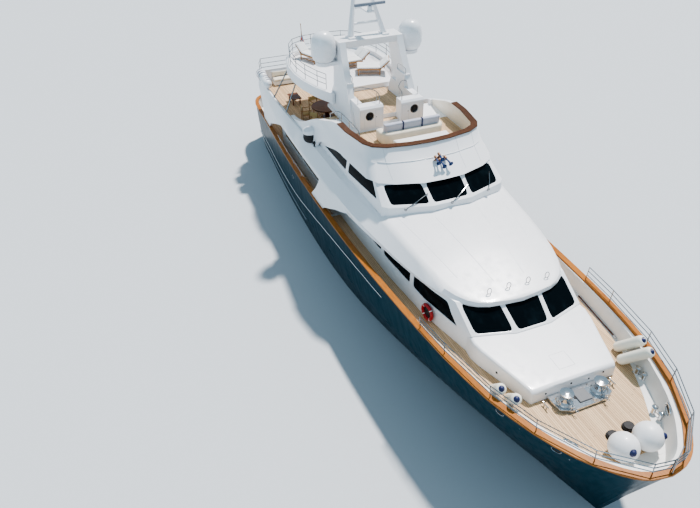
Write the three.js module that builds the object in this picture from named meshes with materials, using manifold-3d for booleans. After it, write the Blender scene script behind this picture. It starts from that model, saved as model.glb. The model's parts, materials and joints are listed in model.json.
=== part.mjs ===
// A 35 m motor yacht afloat, as an assembly of closed solids.
// Millimetres. +X forward, +Y port, +Z up. The origin is on the centreline, at the waterline, amidships.

import * as THREE from "three";
import { mergeVertices } from "three/addons/utils/BufferGeometryUtils.js";
import Module from "manifold-3d";

const wasm = await Module();
wasm.setup();

// Driving dimensions
const STEM = 17330;
const TRANSOM = -16450;
const PLATFORM_END = -17500;
const DRAUGHT = 2100;
const SEAT_GAP = 0.3;
const PLANK = 15;
const BULWARK = 140;
const CAP_WIDTH = 240;
const CAP_THICK = 60;
const AFT_DECK = 2100;
const SIDE_DECK = 2400;
const FORE_DECK = 3000;
const BOW_DECK = 3360;
const STEP_START = -600;
const STEP_RUN = 300;
const HOUSE_WALL = 100;
const HOUSE_AFT = -9500;
const UPPER_FLOOR = 4600;
const UPPER_AFT = -14200;
const LOUNGE_AFT = -2400;
const SUNDECK_UNDER = 6450;
const SUNDECK_FLOOR = 6600;
const COAMING_TOP = 7500;
const AFT_SUNDECK = [7000, 7250];
const GLASS_INSET = 25;
const GLASS_THICK = 25;
const FAR = 30000;

// Finishes
const paint = (color, roughness, metalness = 0) =>
  new THREE.MeshStandardMaterial({ color, roughness, metalness });
const NAVY = paint(0x0d2f3f, 0.2);
const WHITE = paint(0xf1f2f3, 0.3);
const TEAK = paint(0xc9ab86, 0.7);
const VARNISH = paint(0x9a4f24, 0.2);
const GLASS = paint(0x07090c, 0.08);
const STEEL = paint(0xc8ccd0, 0.2, 1);
const BRONZE = paint(0xa07b45, 0.35, 1);
const GREY = paint(0xb9bcc4, 0.8);
const CREAM = paint(0xe9e4d6, 0.7);
const RED = paint(0xb3262a, 0.6);

// Solids

/** A closed manifold solid from a three.js geometry, without its collapsed triangles. */
function solid(geometry) {
  const bare = geometry.clone();
  bare.deleteAttribute("normal");
  bare.deleteAttribute("uv");
  const merged = mergeVertices(bare, 1e-3);
  const corners = merged.index.array;
  const kept = [];
  for (let i = 0; i < corners.length; i += 3) {
    const [a, b, c] = corners.subarray(i, i + 3);
    if (a !== b && b !== c && c !== a) kept.push(a, b, c);
  }
  const vertProperties = new Float32Array(merged.attributes.position.array);
  const triVerts = new Uint32Array(kept);
  return new wasm.Manifold(new wasm.Mesh({ numProp: 3, vertProperties, triVerts }));
}

const join = (...solids) => solids.reduce((whole, piece) => whole.add(piece));
const cut = (whole, ...tools) => tools.reduce((rest, tool) => rest.subtract(tool), whole);
const moved = (piece, x, y, z) => piece.translate([x, y, z]);
const mirrored = (piece) => piece.scale([1, -1, 1]);
const bothSides = (piece) => piece.add(mirrored(piece));

/** A solid with a skin of the seating gap around it, for cutting what rests against it. */
function withGap(piece) {
  const ways = [[0, 1], [0, -1], [1, 0], [-1, 0]];
  return join(...ways.map(([y, z]) => moved(piece, 0, y * SEAT_GAP, z * SEAT_GAP)));
}

/** A box between two values on each axis. */
function block([x0, x1], [y0, y1], [z0, z1]) {
  const geometry = new THREE.BoxGeometry(x1 - x0, y1 - y0, z1 - z0);
  geometry.translate((x0 + x1) / 2, (y0 + y1) / 2, (z0 + z1) / 2);
  return solid(geometry);
}

/** A round bar, or a cone, from one point to another. */
function rod(from, to, radius, endRadius = radius, sides = 8) {
  const start = new THREE.Vector3(...from);
  const along = new THREE.Vector3(...to).sub(start);
  const geometry = new THREE.CylinderGeometry(endRadius, radius, along.length(), sides);
  geometry.translate(0, along.length() / 2, 0);
  const turn = new THREE.Quaternion().setFromUnitVectors(new THREE.Vector3(0, 1, 0), along.normalize());
  geometry.applyQuaternion(turn);
  geometry.translate(...from);
  return solid(geometry);
}

/** A round bar through a row of points that runs mostly level, mitred at each bend. */
function pipe(points, radius, sides = 6) {
  const rings = points.map(([x, y, z], i) => {
    const before = points[Math.max(i - 1, 0)];
    const after = points[Math.min(i + 1, points.length - 1)];
    const tangent = new THREE.Vector2(after[0] - before[0], after[1] - before[1]).normalize();
    const ring = [];
    for (let k = 0; k < sides; k++) {
      const angle = (k / sides) * 2 * Math.PI;
      const [across, up] = [radius * Math.cos(angle), radius * Math.sin(angle)];
      ring.push([x - tangent.y * across, y + tangent.x * across, z + up]);
    }
    return ring;
  });
  return loft(rings);
}

/** A soft cylinder with domed ends between two points. */
function capsule(from, to, radius, sides = 14) {
  const start = new THREE.Vector3(...from);
  const along = new THREE.Vector3(...to).sub(start);
  const geometry = new THREE.CapsuleGeometry(radius, along.length() - 2 * radius, 3, sides);
  geometry.translate(0, along.length() / 2, 0);
  const turn = new THREE.Quaternion().setFromUnitVectors(new THREE.Vector3(0, 1, 0), along.normalize());
  geometry.applyQuaternion(turn);
  geometry.translate(...from);
  return solid(geometry);
}

function ball(centre, radius, sides = 12) {
  const geometry = new THREE.SphereGeometry(radius, sides, Math.max(4, sides / 2));
  geometry.rotateX(Math.PI / 2);
  geometry.translate(...centre);
  return solid(geometry);
}

/** A body of revolution about a vertical axis, from [radius, height] pairs that start and end on the axis. */
function turned(profile, [x, y], sides = 24) {
  const points = profile.map(([radius, height]) => new THREE.Vector2(radius, height));
  const geometry = new THREE.LatheGeometry(points, sides);
  geometry.rotateX(Math.PI / 2);
  geometry.translate(x, y, 0);
  return solid(geometry);
}

const shapeOf = (points) => new THREE.Shape(points.map(([a, b]) => new THREE.Vector2(a, b)));

/** A flat outline in plan, [x, y], raised between two heights. */
function planPlate(outline, [z0, z1]) {
  const geometry = new THREE.ExtrudeGeometry(shapeOf(outline), { depth: z1 - z0, bevelEnabled: false });
  geometry.translate(0, 0, z0);
  return solid(geometry);
}

/** An outline in side view, [x, z], thick between two values of y. */
function sidePlate(outline, [y0, y1]) {
  const geometry = new THREE.ExtrudeGeometry(shapeOf(outline), { depth: y1 - y0, bevelEnabled: false });
  geometry.rotateX(Math.PI / 2);
  geometry.translate(0, y1, 0);
  return solid(geometry);
}

/** An outline seen from ahead, [y, z], thick between two values of x. */
function frontPlate(outline, [x0, x1]) {
  const geometry = new THREE.ExtrudeGeometry(shapeOf(outline), { depth: x1 - x0, bevelEnabled: false });
  geometry.rotateX(Math.PI / 2);
  geometry.rotateZ(Math.PI / 2);
  geometry.translate(x0, 0, 0);
  return solid(geometry);
}

/** A skin through rings of equal numbers of points, with flat ends, or a sharp one where a ring collapses. */
function loft(rings) {
  const size = rings[0].length;
  const positions = rings.flat(2);
  const index = [];
  for (let i = 0; i < rings.length - 1; i++) {
    for (let j = 0; j < size; j++) {
      const beside = (j + 1) % size;
      const [a, b, c, d] = [i * size + j, i * size + beside, (i + 1) * size + beside, (i + 1) * size + j];
      index.push(a, b, c, a, c, d);
    }
  }
  capEnd(rings[0], 0, false, positions, index);
  capEnd(rings.at(-1), (rings.length - 1) * size, true, positions, index);
  const geometry = new THREE.BufferGeometry();
  geometry.setAttribute("position", new THREE.Float32BufferAttribute(positions, 3));
  geometry.setIndex(index);
  const skin = solid(geometry);
  if (skin.volume() > 0) return skin;
  for (let i = 0; i < index.length; i += 3) [index[i], index[i + 1]] = [index[i + 1], index[i]];
  geometry.setIndex(index);
  return solid(geometry);
}

/** The flat end of a loft: a fan about the middle of its last ring, left out where the ring has no area. */
function capEnd(ring, first, last, positions, index) {
  const middle = [0, 1, 2].map((k) => ring.reduce((sum, point) => sum + point[k], 0) / ring.length);
  const spread = [0, 1, 2].filter((k) => ring.some((point) => Math.abs(point[k] - middle[k]) > 1));
  const isLine = ring.every((point, j) => Math.abs(point[1]) < 1) && ring.length > 4;
  if (spread.length < 2 || isLine) return;
  const centre = positions.length / 3;
  positions.push(...middle);
  ring.forEach((_, j) => {
    const [a, b] = [first + j, first + ((j + 1) % ring.length)];
    index.push(...(last ? [a, b, centre] : [b, a, centre]));
  });
}

/** A value from a table of [position, value] rows, straight between rows. */
function along(rows, position) {
  const last = rows.length - 1;
  if (position <= rows[0][0]) return rows[0][1];
  if (position >= rows[last][0]) return rows[last][1];
  const next = rows.findIndex(([x]) => x > position);
  const [[x0, v0], [x1, v1]] = [rows[next - 1], rows[next]];
  return v0 + ((v1 - v0) * (position - x0)) / (x1 - x0);
}

/** Smooth lines through the named points of a row of stations, then the same stations more closely spaced. */
function finer(stations, perSpan) {
  const lines = stations[0].map((_, k) => {
    const points = stations.map((station) => new THREE.Vector3(...station[k]));
    return new THREE.CatmullRomCurve3(points, false, "centripetal");
  });
  const count = (stations.length - 1) * perSpan;
  const rows = [];
  for (let i = 0; i <= count; i++) rows.push(lines.map((line) => line.getPoint(i / count).toArray()));
  return rows;
}

/** A smooth open line through the points of an outline's edge. */
function curved(points, steps) {
  const line = new THREE.SplineCurve(points.map(([a, b]) => new THREE.Vector2(a, b)));
  return line.getPoints(steps).map((point) => [point.x, point.y]);
}

/** An outline whose corners are rounded by a few short edges. */
function rounded(outline, radius, steps = 2) {
  return outline.flatMap((corner, i) => {
    const before = outline[(i + outline.length - 1) % outline.length];
    const after = outline[(i + 1) % outline.length];
    const [from, to] = [before, after].map((other) => {
      const share = Math.min(radius / Math.hypot(other[0] - corner[0], other[1] - corner[1]), 0.4);
      return corner.map((value, k) => value + (other[k] - value) * share);
    });
    const points = [];
    for (let n = 0; n <= steps; n++) {
      const t = n / steps;
      const weights = [(1 - t) ** 2, 2 * t * (1 - t), t ** 2];
      points.push(corner.map((value, k) => from[k] * weights[0] + value * weights[1] + to[k] * weights[2]));
    }
    return points;
  });
}

const mirrorRing = (half) => [...half, ...[...half].reverse().map(([x, y, z]) => [x, -y, z])];

const yacht = new THREE.Group();

/** Adds one named mesh to the yacht, or to a group of its own. */
function part(name, piece, material) {
  const { vertProperties, triVerts } = piece.getMesh();
  const geometry = new THREE.BufferGeometry();
  geometry.setAttribute("position", new THREE.BufferAttribute(new Float32Array(vertProperties), 3));
  geometry.setIndex(new THREE.BufferAttribute(new Uint32Array(triVerts), 1));
  geometry.computeVertexNormals();
  const mesh = new THREE.Mesh(geometry, material);
  mesh.name = name;
  yacht.add(mesh);
}

const SIDES = [["starboard", -1], ["port", 1]];
const onSide = (piece, side) => (side > 0 ? piece : mirrored(piece));

// Hull

const railHeight = (x) => {
  const t = (x - 1000) / 17500;
  return 3630 + 631.5 * t - 130.5 * t * t;
};

// Columns: x at the rail, half-breadths at rail, topside, waterline and bilge, then bilge and keel heights.
const HULL_STATIONS = [
  [-16450, 2350, 2330, 2250, 2050, -420, -620],
  [-16200, 2740, 2700, 2560, 2280, -430, -650],
  [-15750, 3060, 3010, 2840, 2480, -440, -690],
  [-14850, 3320, 3260, 3050, 2620, -470, -780],
  [-12000, 3480, 3430, 3250, 2800, -600, -1050],
  [-8500, 3690, 3630, 3450, 2950, -760, -1320],
  [-5000, 3870, 3780, 3560, 2980, -880, -1480],
  [-1500, 3950, 3840, 3570, 2880, -950, -1550],
  [2000, 3960, 3790, 3400, 2560, -980, -1560],
  [5000, 3880, 3610, 3020, 2100, -980, -1540],
  [8000, 3710, 3290, 2450, 1560, -960, -1500],
  [11000, 3440, 2800, 1760, 980, -900, -1430],
  [13200, 3070, 2220, 1180, 560, -820, -1340],
  [14800, 2540, 1600, 720, 300, -720, -1260],
  [15900, 1970, 1060, 420, 160, -660, -1210],
  [16600, 1410, 640, 230, 80, -620, -1190],
  [17000, 990, 380, 120, 40, -600, -1180],
  [17230, 560, 200, 60, 20, -600, -1170],
  [STEM, 0, 0, 0, 0, -600, -1170],
];
const TOPSIDE = 1750;
const RAKE_START = 2000;
const STEM_AT = { rail: STEM, topside: 16430, water: 15800, bilge: 15350, keel: 14500 };

/** A station's x at a lower level, where the bow is raked back to a stem of its own. */
function raked(x, stem) {
  if (x <= RAKE_START) return x;
  return RAKE_START + ((x - RAKE_START) * (stem - RAKE_START)) / (STEM - RAKE_START);
}

const hullStations = HULL_STATIONS.map(([x, rail, topside, water, bilge, bilgeZ, keelZ]) => [
  [x, rail, railHeight(x) - CAP_THICK],
  [raked(x, STEM_AT.topside), topside, TOPSIDE],
  [raked(x, STEM_AT.water), water, 0],
  [raked(x, STEM_AT.bilge), bilge, bilgeZ],
  [raked(x, STEM_AT.keel), 0, keelZ],
]);
const hullRows = finer(hullStations, 2).map((row) => row.map(([x, y, z]) => [x, Math.max(y, 0), z]));
const mirrorPath = (half) => [...half, ...half.slice(0, -1).reverse().map(([x, y, z]) => [x, -y, z])];
const hullRings = hullRows.map(mirrorPath);

/** Plan normals, pointing inboard, along a row of [x, y] points on the port side. */
function inboardNormals(points) {
  return points.map((_, i) => {
    const before = points[Math.max(i - 1, 0)];
    const after = points[Math.min(i + 1, points.length - 1)];
    const tangent = new THREE.Vector2(after[0] - before[0], after[1] - before[1]).normalize();
    if (i === points.length - 1) return [-1, 0];
    return [tangent.y, -tangent.x];
  });
}

const railLine = hullRows.map((row) => row[0]);
const railNormals = inboardNormals(railLine);

/** The rail line of the port side, moved inboard. */
const railInset = (distance) =>
  railLine.map(([x, y, z], i) => {
    const [nx, ny] = railNormals[i];
    return [x + nx * distance, Math.max(y + ny * distance, 0), z];
  });

/** The space inside the bulwarks above a floor, over a stretch of the length. */
function wellTool(floorAt, [x0, x1], inset) {
  const rings = hullRows.map(([rail, topside], i) => {
    const floor = floorAt(rail[0]);
    const share = (rail[2] - floor) / (rail[2] - topside[2]);
    const [nx, ny] = railNormals[i];
    const lean = [0, 1].map((k) => rail[k] + (topside[k] - rail[k]) * share);
    const low = [lean[0] + nx * inset, Math.max(lean[1] + ny * inset, 0), floor];
    const high = [rail[0] + nx * inset, Math.max(rail[1] + ny * inset, 0), rail[2] + 1000];
    return [high, low, [low[0], -low[1], floor], [high[0], -high[1], high[2]]];
  });
  rings[0] = rings[0].map(([x, y, z]) => [TRANSOM + inset, y, z]);
  return loft(rings).intersect(block([x0, x1], [-FAR, FAR], [-FAR, FAR]));
}

const aftFloor = (x) => along([[TRANSOM, AFT_DECK], [STEP_START, SIDE_DECK]], x);
const foreFloor = (x) => along([[STEP_START, FORE_DECK], [12000, 3320], [STEM, BOW_DECK]], x);
const stepCount = 4;
const stepRise = (FORE_DECK - SIDE_DECK) / stepCount;
const foreStart = STEP_START + STEP_RUN * (stepCount - 1);

const GARAGE = { y: 1050, z: [850, 1850], depth: 2500 };
const GARAGE_DOOR = { lap: 60, thick: 60, gap: 5 };
const STERN_STEPS = { y: [1250, 1950], rise: 240, run: 250, count: 6, foot: 650 };
const SHAFT_Y = 1550;
const SHAFT_TUBE = [-9600, -1180];
const PROPELLER_AT = [-13600, -1400];
const shaftSlope = (PROPELLER_AT[1] - SHAFT_TUBE[1]) / (PROPELLER_AT[0] - SHAFT_TUBE[0]);
const shaftPoint = (x) => [x, SHAFT_Y, SHAFT_TUBE[1] + (x - SHAFT_TUBE[0]) * shaftSlope];
const SHAFT_RADIUS = 50;
const SHAFT_BORE = 51;
const RUDDER_X = -14750;
const RUDDER_BOSS = -830;
const TUBE_RADIUS = 110;
const SKEG = [[-12900, -900], [-12500, -DRAUGHT], [-3000, -DRAUGHT], [1500, -1400], [1500, -1200]];

function makeHull() {
  let hull = loft(hullRings);
  hull = hull.add(sidePlate(SKEG, [-90, 90]));
  for (const side of [-1, 1]) {
    const [x, , z] = shaftPoint(SHAFT_TUBE[0]);
    const [innerX, , innerZ] = shaftPoint(x + 1800);
    const y = side * SHAFT_Y;
    const tube = rod([x, y, z], [innerX, y, innerZ], TUBE_RADIUS, TUBE_RADIUS, 16);
    const boss = rod([RUDDER_X, y, -300], [RUDDER_X, y, RUDDER_BOSS], TUBE_RADIUS, TUBE_RADIUS, 16);
    hull = join(hull, tube, boss);
  }
  const steps = [];
  for (let k = 0; k < stepCount - 1; k++) {
    const start = STEP_START + STEP_RUN * k;
    const floor = SIDE_DECK + stepRise * (k + 1);
    steps.push(wellTool(() => floor, [start, start + STEP_RUN], BULWARK));
  }
  const aftWell = wellTool(aftFloor, [-FAR, STEP_START], BULWARK);
  const foreWell = wellTool(foreFloor, [foreStart, FAR], BULWARK);
  hull = cut(hull, aftWell, foreWell, ...steps);
  hull = cut(hull, block([TRANSOM - 100, TRANSOM + GARAGE.depth], [-GARAGE.y, GARAGE.y], GARAGE.z));
  const doorSide = GARAGE.y + GARAGE_DOOR.lap + SEAT_GAP;
  const doorTop = GARAGE.z[1] + GARAGE_DOOR.lap;
  const lugDepth = GARAGE_DOOR.thick + GARAGE_DOOR.gap;
  const lug = block([TRANSOM - lugDepth, TRANSOM + 20], [doorSide, doorSide + 60], [doorTop - 90, doorTop]);
  hull = hull.add(bothSides(lug));
  for (const side of [-1, 1]) {
    const [x, , z] = shaftPoint(SHAFT_TUBE[0] - 10);
    const [innerX, , innerZ] = shaftPoint(SHAFT_TUBE[0] + 400);
    const y = side * SHAFT_Y;
    hull = cut(hull, rod([x, y, z], [innerX, y, innerZ], SHAFT_BORE, SHAFT_BORE, 32));
    for (let k = 0; k < STERN_STEPS.count; k++) {
      const start = TRANSOM + STERN_STEPS.run * k;
      const tread = STERN_STEPS.foot + STERN_STEPS.rise * (k + 1);
      const step = block([start - 1, start + STERN_STEPS.run], STERN_STEPS.y, [tread, 4000]);
      hull = cut(hull, onSide(step, side));
    }
  }
  return hull;
}

const hull = makeHull();
part("hull", hull, NAVY);

/** A strip of rectangular section along a row of [x, y, z] points, centred on it and resting on it. */
function strip(points, width, thickness) {
  const rings = points.map(([x, y, z], i) => {
    const before = points[Math.max(i - 1, 0)];
    const after = points[Math.min(i + 1, points.length - 1)];
    const tangent = new THREE.Vector2(after[0] - before[0], after[1] - before[1]).normalize();
    const [nx, ny] = [(tangent.y * width) / 2, (-tangent.x * width) / 2];
    return [
      [x + nx, y + ny, z],
      [x - nx, y - ny, z],
      [x - nx, y - ny, z + thickness],
      [x + nx, y + ny, z + thickness],
    ];
  });
  return loft(rings);
}

const sternCorner = [TRANSOM + BULWARK / 2, STERN_STEPS.y[1] + 60, railHeight(TRANSOM) - CAP_THICK];
const capLine = [sternCorner, ...railInset(BULWARK / 2)].map(([x, y, z]) => [x, y, z + SEAT_GAP]);
capLine[1] = [TRANSOM + BULWARK / 2, 2320, capLine[1][2]];
const overHull = moved(hull, 0, 0, SEAT_GAP);
const capRail = cut(strip(mirrorPath(capLine), CAP_WIDTH, CAP_THICK), overHull);
part("cap_rail", capRail, VARNISH);
const transomCapBase = railHeight(TRANSOM) - CAP_THICK + SEAT_GAP;
const transomCap = block(
  [TRANSOM - 50, TRANSOM - 50 + CAP_WIDTH],
  [-STERN_STEPS.y[0] + 20, STERN_STEPS.y[0] - 20],
  [transomCapBase, transomCapBase + CAP_THICK],
);
part("transom_cap_rail", cut(transomCap, overHull), VARNISH);

/** Planking on a stretch of deck, inside a margin along the bulwark. */
function planking(floorAt, stretch, margin, ...holes) {
  const low = wellTool((x) => floorAt(x) - 40, stretch, BULWARK + margin);
  const above = moved(wellTool(floorAt, [stretch[0] - 300, stretch[1] + 300], BULWARK), 0, 0, PLANK);
  const thin = block([-FAR, FAR], [-FAR, FAR], [0, floorAt(stretch[1]) + 100]);
  return cut(low, above, overHull, ...holes).intersect(thin);
}

// Underwater gear

// Each twist: a radius, the share of the chord there, and the blade's angle in radians.
const PROPELLER = {
  hub: 110,
  blades: 4,
  chord: 300,
  thick: 34,
  phase: 30,
  twists: [[60, 0.8, 1.1], [200, 1, 0.85], [360, 1.15, 0.6], [470, 0.85, 0.48], [520, 0.2, 0.42]],
};

/** A propeller with its shaft: a hub, twisted blades and the shaft that runs forward into the hull. */
function makePropeller() {
  const profile = [[0, -200], [70, -170], [PROPELLER.hub, -60], [PROPELLER.hub, 120], [80, 160], [0, 160]];
  let screw = turned(profile, [0, 0], 16);
  for (let k = 0; k < PROPELLER.blades; k++) {
    const sections = PROPELLER.twists.map(([radius, share, twist]) => {
      const half = (PROPELLER.chord * share) / 2;
      const [cosine, sine] = [Math.cos(twist), Math.sin(twist)];
      const corners = [[-half, 0], [0, PROPELLER.thick / 2], [half, 0], [0, -PROPELLER.thick / 2]];
      return corners.map(([s, t]) => [radius, s * cosine - t * sine, s * sine + t * cosine]);
    });
    screw = screw.add(loft(sections).rotate([0, 0, (360 / PROPELLER.blades) * k + PROPELLER.phase]));
  }
  const tubeEnd = new THREE.Vector3(...shaftPoint(SHAFT_TUBE[0] + 380));
  const centre = new THREE.Vector3(...shaftPoint(PROPELLER_AT[0]));
  const shaftLength = tubeEnd.distanceTo(centre);
  screw = screw.add(rod([0, 0, 0], [0, 0, shaftLength], SHAFT_RADIUS, SHAFT_RADIUS, 16));
  const tilt = (Math.atan(shaftSlope) * 180) / Math.PI;
  return screw.rotate([0, 90 - tilt, 0]).translate(centre.toArray());
}

/** The bracket that carries the shaft ahead of the propeller: a barrel on two arms under the hull. */
function makeBracket() {
  const x = PROPELLER_AT[0] + 420;
  const [, , z] = shaftPoint(x);
  const outer = rod(shaftPoint(x - 180), shaftPoint(x + 180), 95, 95, 16);
  const bore = rod(shaftPoint(x - 200), shaftPoint(x + 200), SHAFT_BORE, SHAFT_BORE, 32);
  const arm = (foot) => {
    const section = (y, height, half) => [
      [x - half, y - 18, height],
      [x + half, y - 18, height],
      [x + half, y + 18, height],
      [x - half, y + 18, height],
    ];
    return loft([section(SHAFT_Y, z, 110), section(foot, 0, 150)]);
  };
  const arms = join(arm(SHAFT_Y - 380), arm(SHAFT_Y + 380));
  return cut(join(outer, arms), bore);
}

/** A spade rudder on its stock. */
function makeRudder() {
  const section = (scale, z) => {
    const outline = [[330, 0], [240, 55], [0, 62], [-520, 8], [-520, -8], [0, -62], [240, -55]];
    return outline.map(([a, b]) => [RUDDER_X + a * scale, SHAFT_Y + b * scale, z]);
  };
  const blade = loft([section(0.78, -1930), section(1, -1000)]);
  const stock = rod([RUDDER_X, SHAFT_Y, -1100], [RUDDER_X, SHAFT_Y, RUDDER_BOSS - SEAT_GAP], 60, 60, 16);
  return join(blade, stock);
}

const propeller = makePropeller();
const bracket = makeBracket();
const rudder = makeRudder();
for (const [name, side] of SIDES) {
  part(`propeller_${name}`, onSide(propeller, side), BRONZE);
  part(`shaft_bracket_${name}`, cut(onSide(bracket, side), moved(hull, 0, 0, -SEAT_GAP)), BRONZE);
  part(`rudder_${name}`, onSide(rudder, side), NAVY);
}

// Stern

const PLATFORM = { half: 2550, z: [450, 650], corner: 500 };

/** Half an outline with a rounded after corner, mirrored about the centreline. */
function roundedPlatform() {
  const half = [];
  for (let k = 0; k <= 6; k++) {
    const angle = (k / 6) * (Math.PI / 2);
    const x = PLATFORM_END + PLATFORM.corner * (1 - Math.cos(angle));
    const y = PLATFORM.half - PLATFORM.corner * (1 - Math.sin(angle));
    half.push([x, y]);
  }
  half.push([TRANSOM - SEAT_GAP, PLATFORM.half]);
  return [...half, ...half.map(([x, y]) => [x, -y]).reverse()];
}
part("swim_platform", planPlate(roundedPlatform(), PLATFORM.z), TEAK);

const garageDoor = block(
  [TRANSOM - GARAGE_DOOR.gap - GARAGE_DOOR.thick, TRANSOM - GARAGE_DOOR.gap],
  [-GARAGE.y - GARAGE_DOOR.lap, GARAGE.y + GARAGE_DOOR.lap],
  [GARAGE.z[0] - GARAGE_DOOR.lap, GARAGE.z[1] + GARAGE_DOOR.lap],
);
part("garage_door", garageDoor, NAVY);

// Upper deck: a tub aft, with a wing down to the rail each side, and the coachroof forward

// Columns: x, the underside's height, half-breadth and height of edge, belly and cap, and the middle's.
const UPPER_STATIONS = [
  [UPPER_AFT, 4400, 2450, 4560, 2490, 4850, 2420, 5320, 5320],
  [-14050, 4360, 2880, 4560, 2920, 4850, 2830, 5340, 5340],
  [-13600, 4310, 3220, 4570, 3250, 4860, 3140, 5370, 5370],
  [-12500, 4270, 3440, 4600, 3460, 4880, 3340, 5400, 5400],
  [-9000, 4250, 3640, 4620, 3640, 4900, 3480, 5420, 5420],
  [-5000, 4250, 3720, 4620, 3700, 4900, 3400, 5430, 5430],
  [-1500, 4250, 3740, 4640, 3700, 4920, 3320, 5430, 5500],
  [1000, 4300, 3720, 4640, 3670, 4920, 3260, 5380, 5600],
  [3000, 4540, 3600, 4640, 3570, 4860, 3120, 5320, 5640],
  [5500, 4590, 3230, 4610, 3260, 4800, 2890, 5220, 5560],
  [7500, 4590, 2890, 4610, 2930, 4760, 2700, 5070, 5330],
  [9000, 4590, 2450, 4610, 2500, 4720, 2370, 4910, 5080],
  [9800, 4600, 1950, 4620, 2000, 4700, 1900, 4830, 4930],
  [10200, 4610, 1250, 4630, 1290, 4690, 1220, 4790, 4850],
  [10350, 4620, 0, 4640, 0, 4690, 0, 4760, 4790],
];
const UNDERCUT = 350;

const upperStations = UPPER_STATIONS.map(([x, underZ, lowY, lowZ, bellyY, bellyZ, capY, capZ, topZ]) => [
  [x, Math.max(lowY - UNDERCUT, 0), underZ],
  [x, lowY, lowZ],
  [x, bellyY, bellyZ],
  [x, capY, capZ],
  [x, capY * 0.9, capZ + (topZ - capZ) * 0.45],
  [x, capY * 0.5, capZ + (topZ - capZ) * 0.8],
  [x, 0, topZ],
]);
const upperRows = finer(upperStations, 2).map((row) => row.map(([x, y, z]) => [x, Math.max(y, 0), z]));
const upperRings = upperRows.map(mirrorPath);

/** The half-breadth of the middle of the upper bulwark's top. */
const BULWARK_TOP = 120;
const capMiddle = (x) => along(upperRows.map((row) => [row[3][0], row[3][1]]), x) - BULWARK_TOP / 2;

// The edges, in side view, of the wings that carry the upper deck's side down to the bulwark
const MID_WING = [
  ...curved([[-1350, 3500], [-1180, 3720], [-1000, 3900], [-770, 4200], [-620, 4500], [-560, 4720]], 8),
  ...curved(
    [[2930, 4720], [2220, 4470], [1610, 4260], [1230, 4080], [810, 3900], [440, 3720], [260, 3500]],
    10,
  ),
];
const AFT_WING = [
  ...curved([[-12000, 2900], [-12060, 3500], [-12350, 4100], [-12750, 4720]], 6),
  ...curved([[-6800, 4720], [-7700, 4450], [-8400, 4200], [-9300, 3850], [-10100, 3520], [-10700, 2900]], 10),
];
const WING_THICK = 130;

/** The skin of the wings: from the deck's edge straight down to the rail, and then below it. */
function makeWingSkin() {
  const railAt = (x) => along(railLine.map(([length, breadth]) => [length, breadth]), x) - 20;
  const rings = upperRows
    .filter(([under]) => under[0] > -13700 && under[0] < 3300)
    .map(([, [x, lowY, lowZ]]) => {
      const outer = [[x, lowY - 40, lowZ + 100], [x, lowY, lowZ], [x, railAt(x), 3500], [x, railAt(x), 2800]];
      return [...outer, ...[...outer].reverse().map(([, y, z]) => [x, y - WING_THICK, z])];
    });
  return loft(rings);
}

function makeUpperDeck() {
  let deck = loft(upperRings);
  const wellRings = upperRows
    .filter(([under]) => under[0] < LOUNGE_AFT + 1500)
    .map(([, , belly, cap]) => {
      const x = Math.max(cap[0], UPPER_AFT + 130);
      const [low, high] = [[x, belly[1] - 200, UPPER_FLOOR], [x, cap[1] - BULWARK_TOP, cap[2] + 10]];
      const above = [x, high[1], 6500];
      return mirrorRing([above, high, low]);
    });
  const aftWell = loft(wellRings).intersect(block([-FAR, LOUNGE_AFT], [-FAR, FAR], [0, FAR]));
  const roomWell = block([LOUNGE_AFT - 1, 4150], [-2830, 2830], [UPPER_FLOOR, 6500]);
  const roofSlab = block([LOUNGE_AFT, 4400], [-2860, 2860], [4380, UPPER_FLOOR]);
  const cavityRings = upperRows
    .filter(([under]) => under[0] > 4400 && under[0] < 9400)
    .map(([, [x, lowY], , [, capY, capZ], , , [, , topZ]]) =>
      mirrorRing([[x, 0, topZ - 150], [x, capY - 320, capZ - 150], [x, lowY - 420, 4300]]),
    );
  deck = cut(deck, loft(cavityRings));
  deck = cut(join(deck, roofSlab), aftWell, roomWell);
  const outlines = join(...[MID_WING, AFT_WING].map((outline) => sidePlate(outline, [3000, 4200])));
  const skirtDepth = 1500;
  const skirtLine = mirrorPath(capLine).map(([x, y, z]) => [x, y, z - skirtDepth]);
  const underCap = strip(skirtLine, 500, skirtDepth + CAP_THICK + SEAT_GAP);
  const wings = cut(bothSides(makeWingSkin().intersect(outlines)), underCap, moved(capRail, 0, 0, SEAT_GAP));
  return deck.add(wings);
}

const upperDeck = makeUpperDeck();
part("upper_deck", upperDeck, WHITE);

// Deckhouses: walls with flat panes across the front, from plan outlines at several heights

/** A plan outline from half its corners, drawn in by a distance on every side. */
function insetOutline(half, distance) {
  const points = [...half, ...[...half].reverse().map(([x, y]) => [x, -y])];
  return points.map((point, i) => {
    const before = points[(i + points.length - 1) % points.length];
    const after = points[(i + 1) % points.length];
    const into = new THREE.Vector2(point[0] - before[0], point[1] - before[1]).normalize();
    const out = new THREE.Vector2(after[0] - point[0], after[1] - point[1]).normalize();
    const bisector = new THREE.Vector2(into.y + out.y, -into.x - out.x);
    const reach = distance / (1 + into.dot(out));
    return [point[0] - bisector.x * reach, point[1] - bisector.y * reach];
  });
}

/** The solid inside a house's levels, drawn in by a distance. A level is a height and a half outline. */
const house = (levels, distance) =>
  loft(levels.map(([z, half]) => insetOutline([...half].reverse(), -distance).map(([x, y]) => [x, y, z])));

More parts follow.
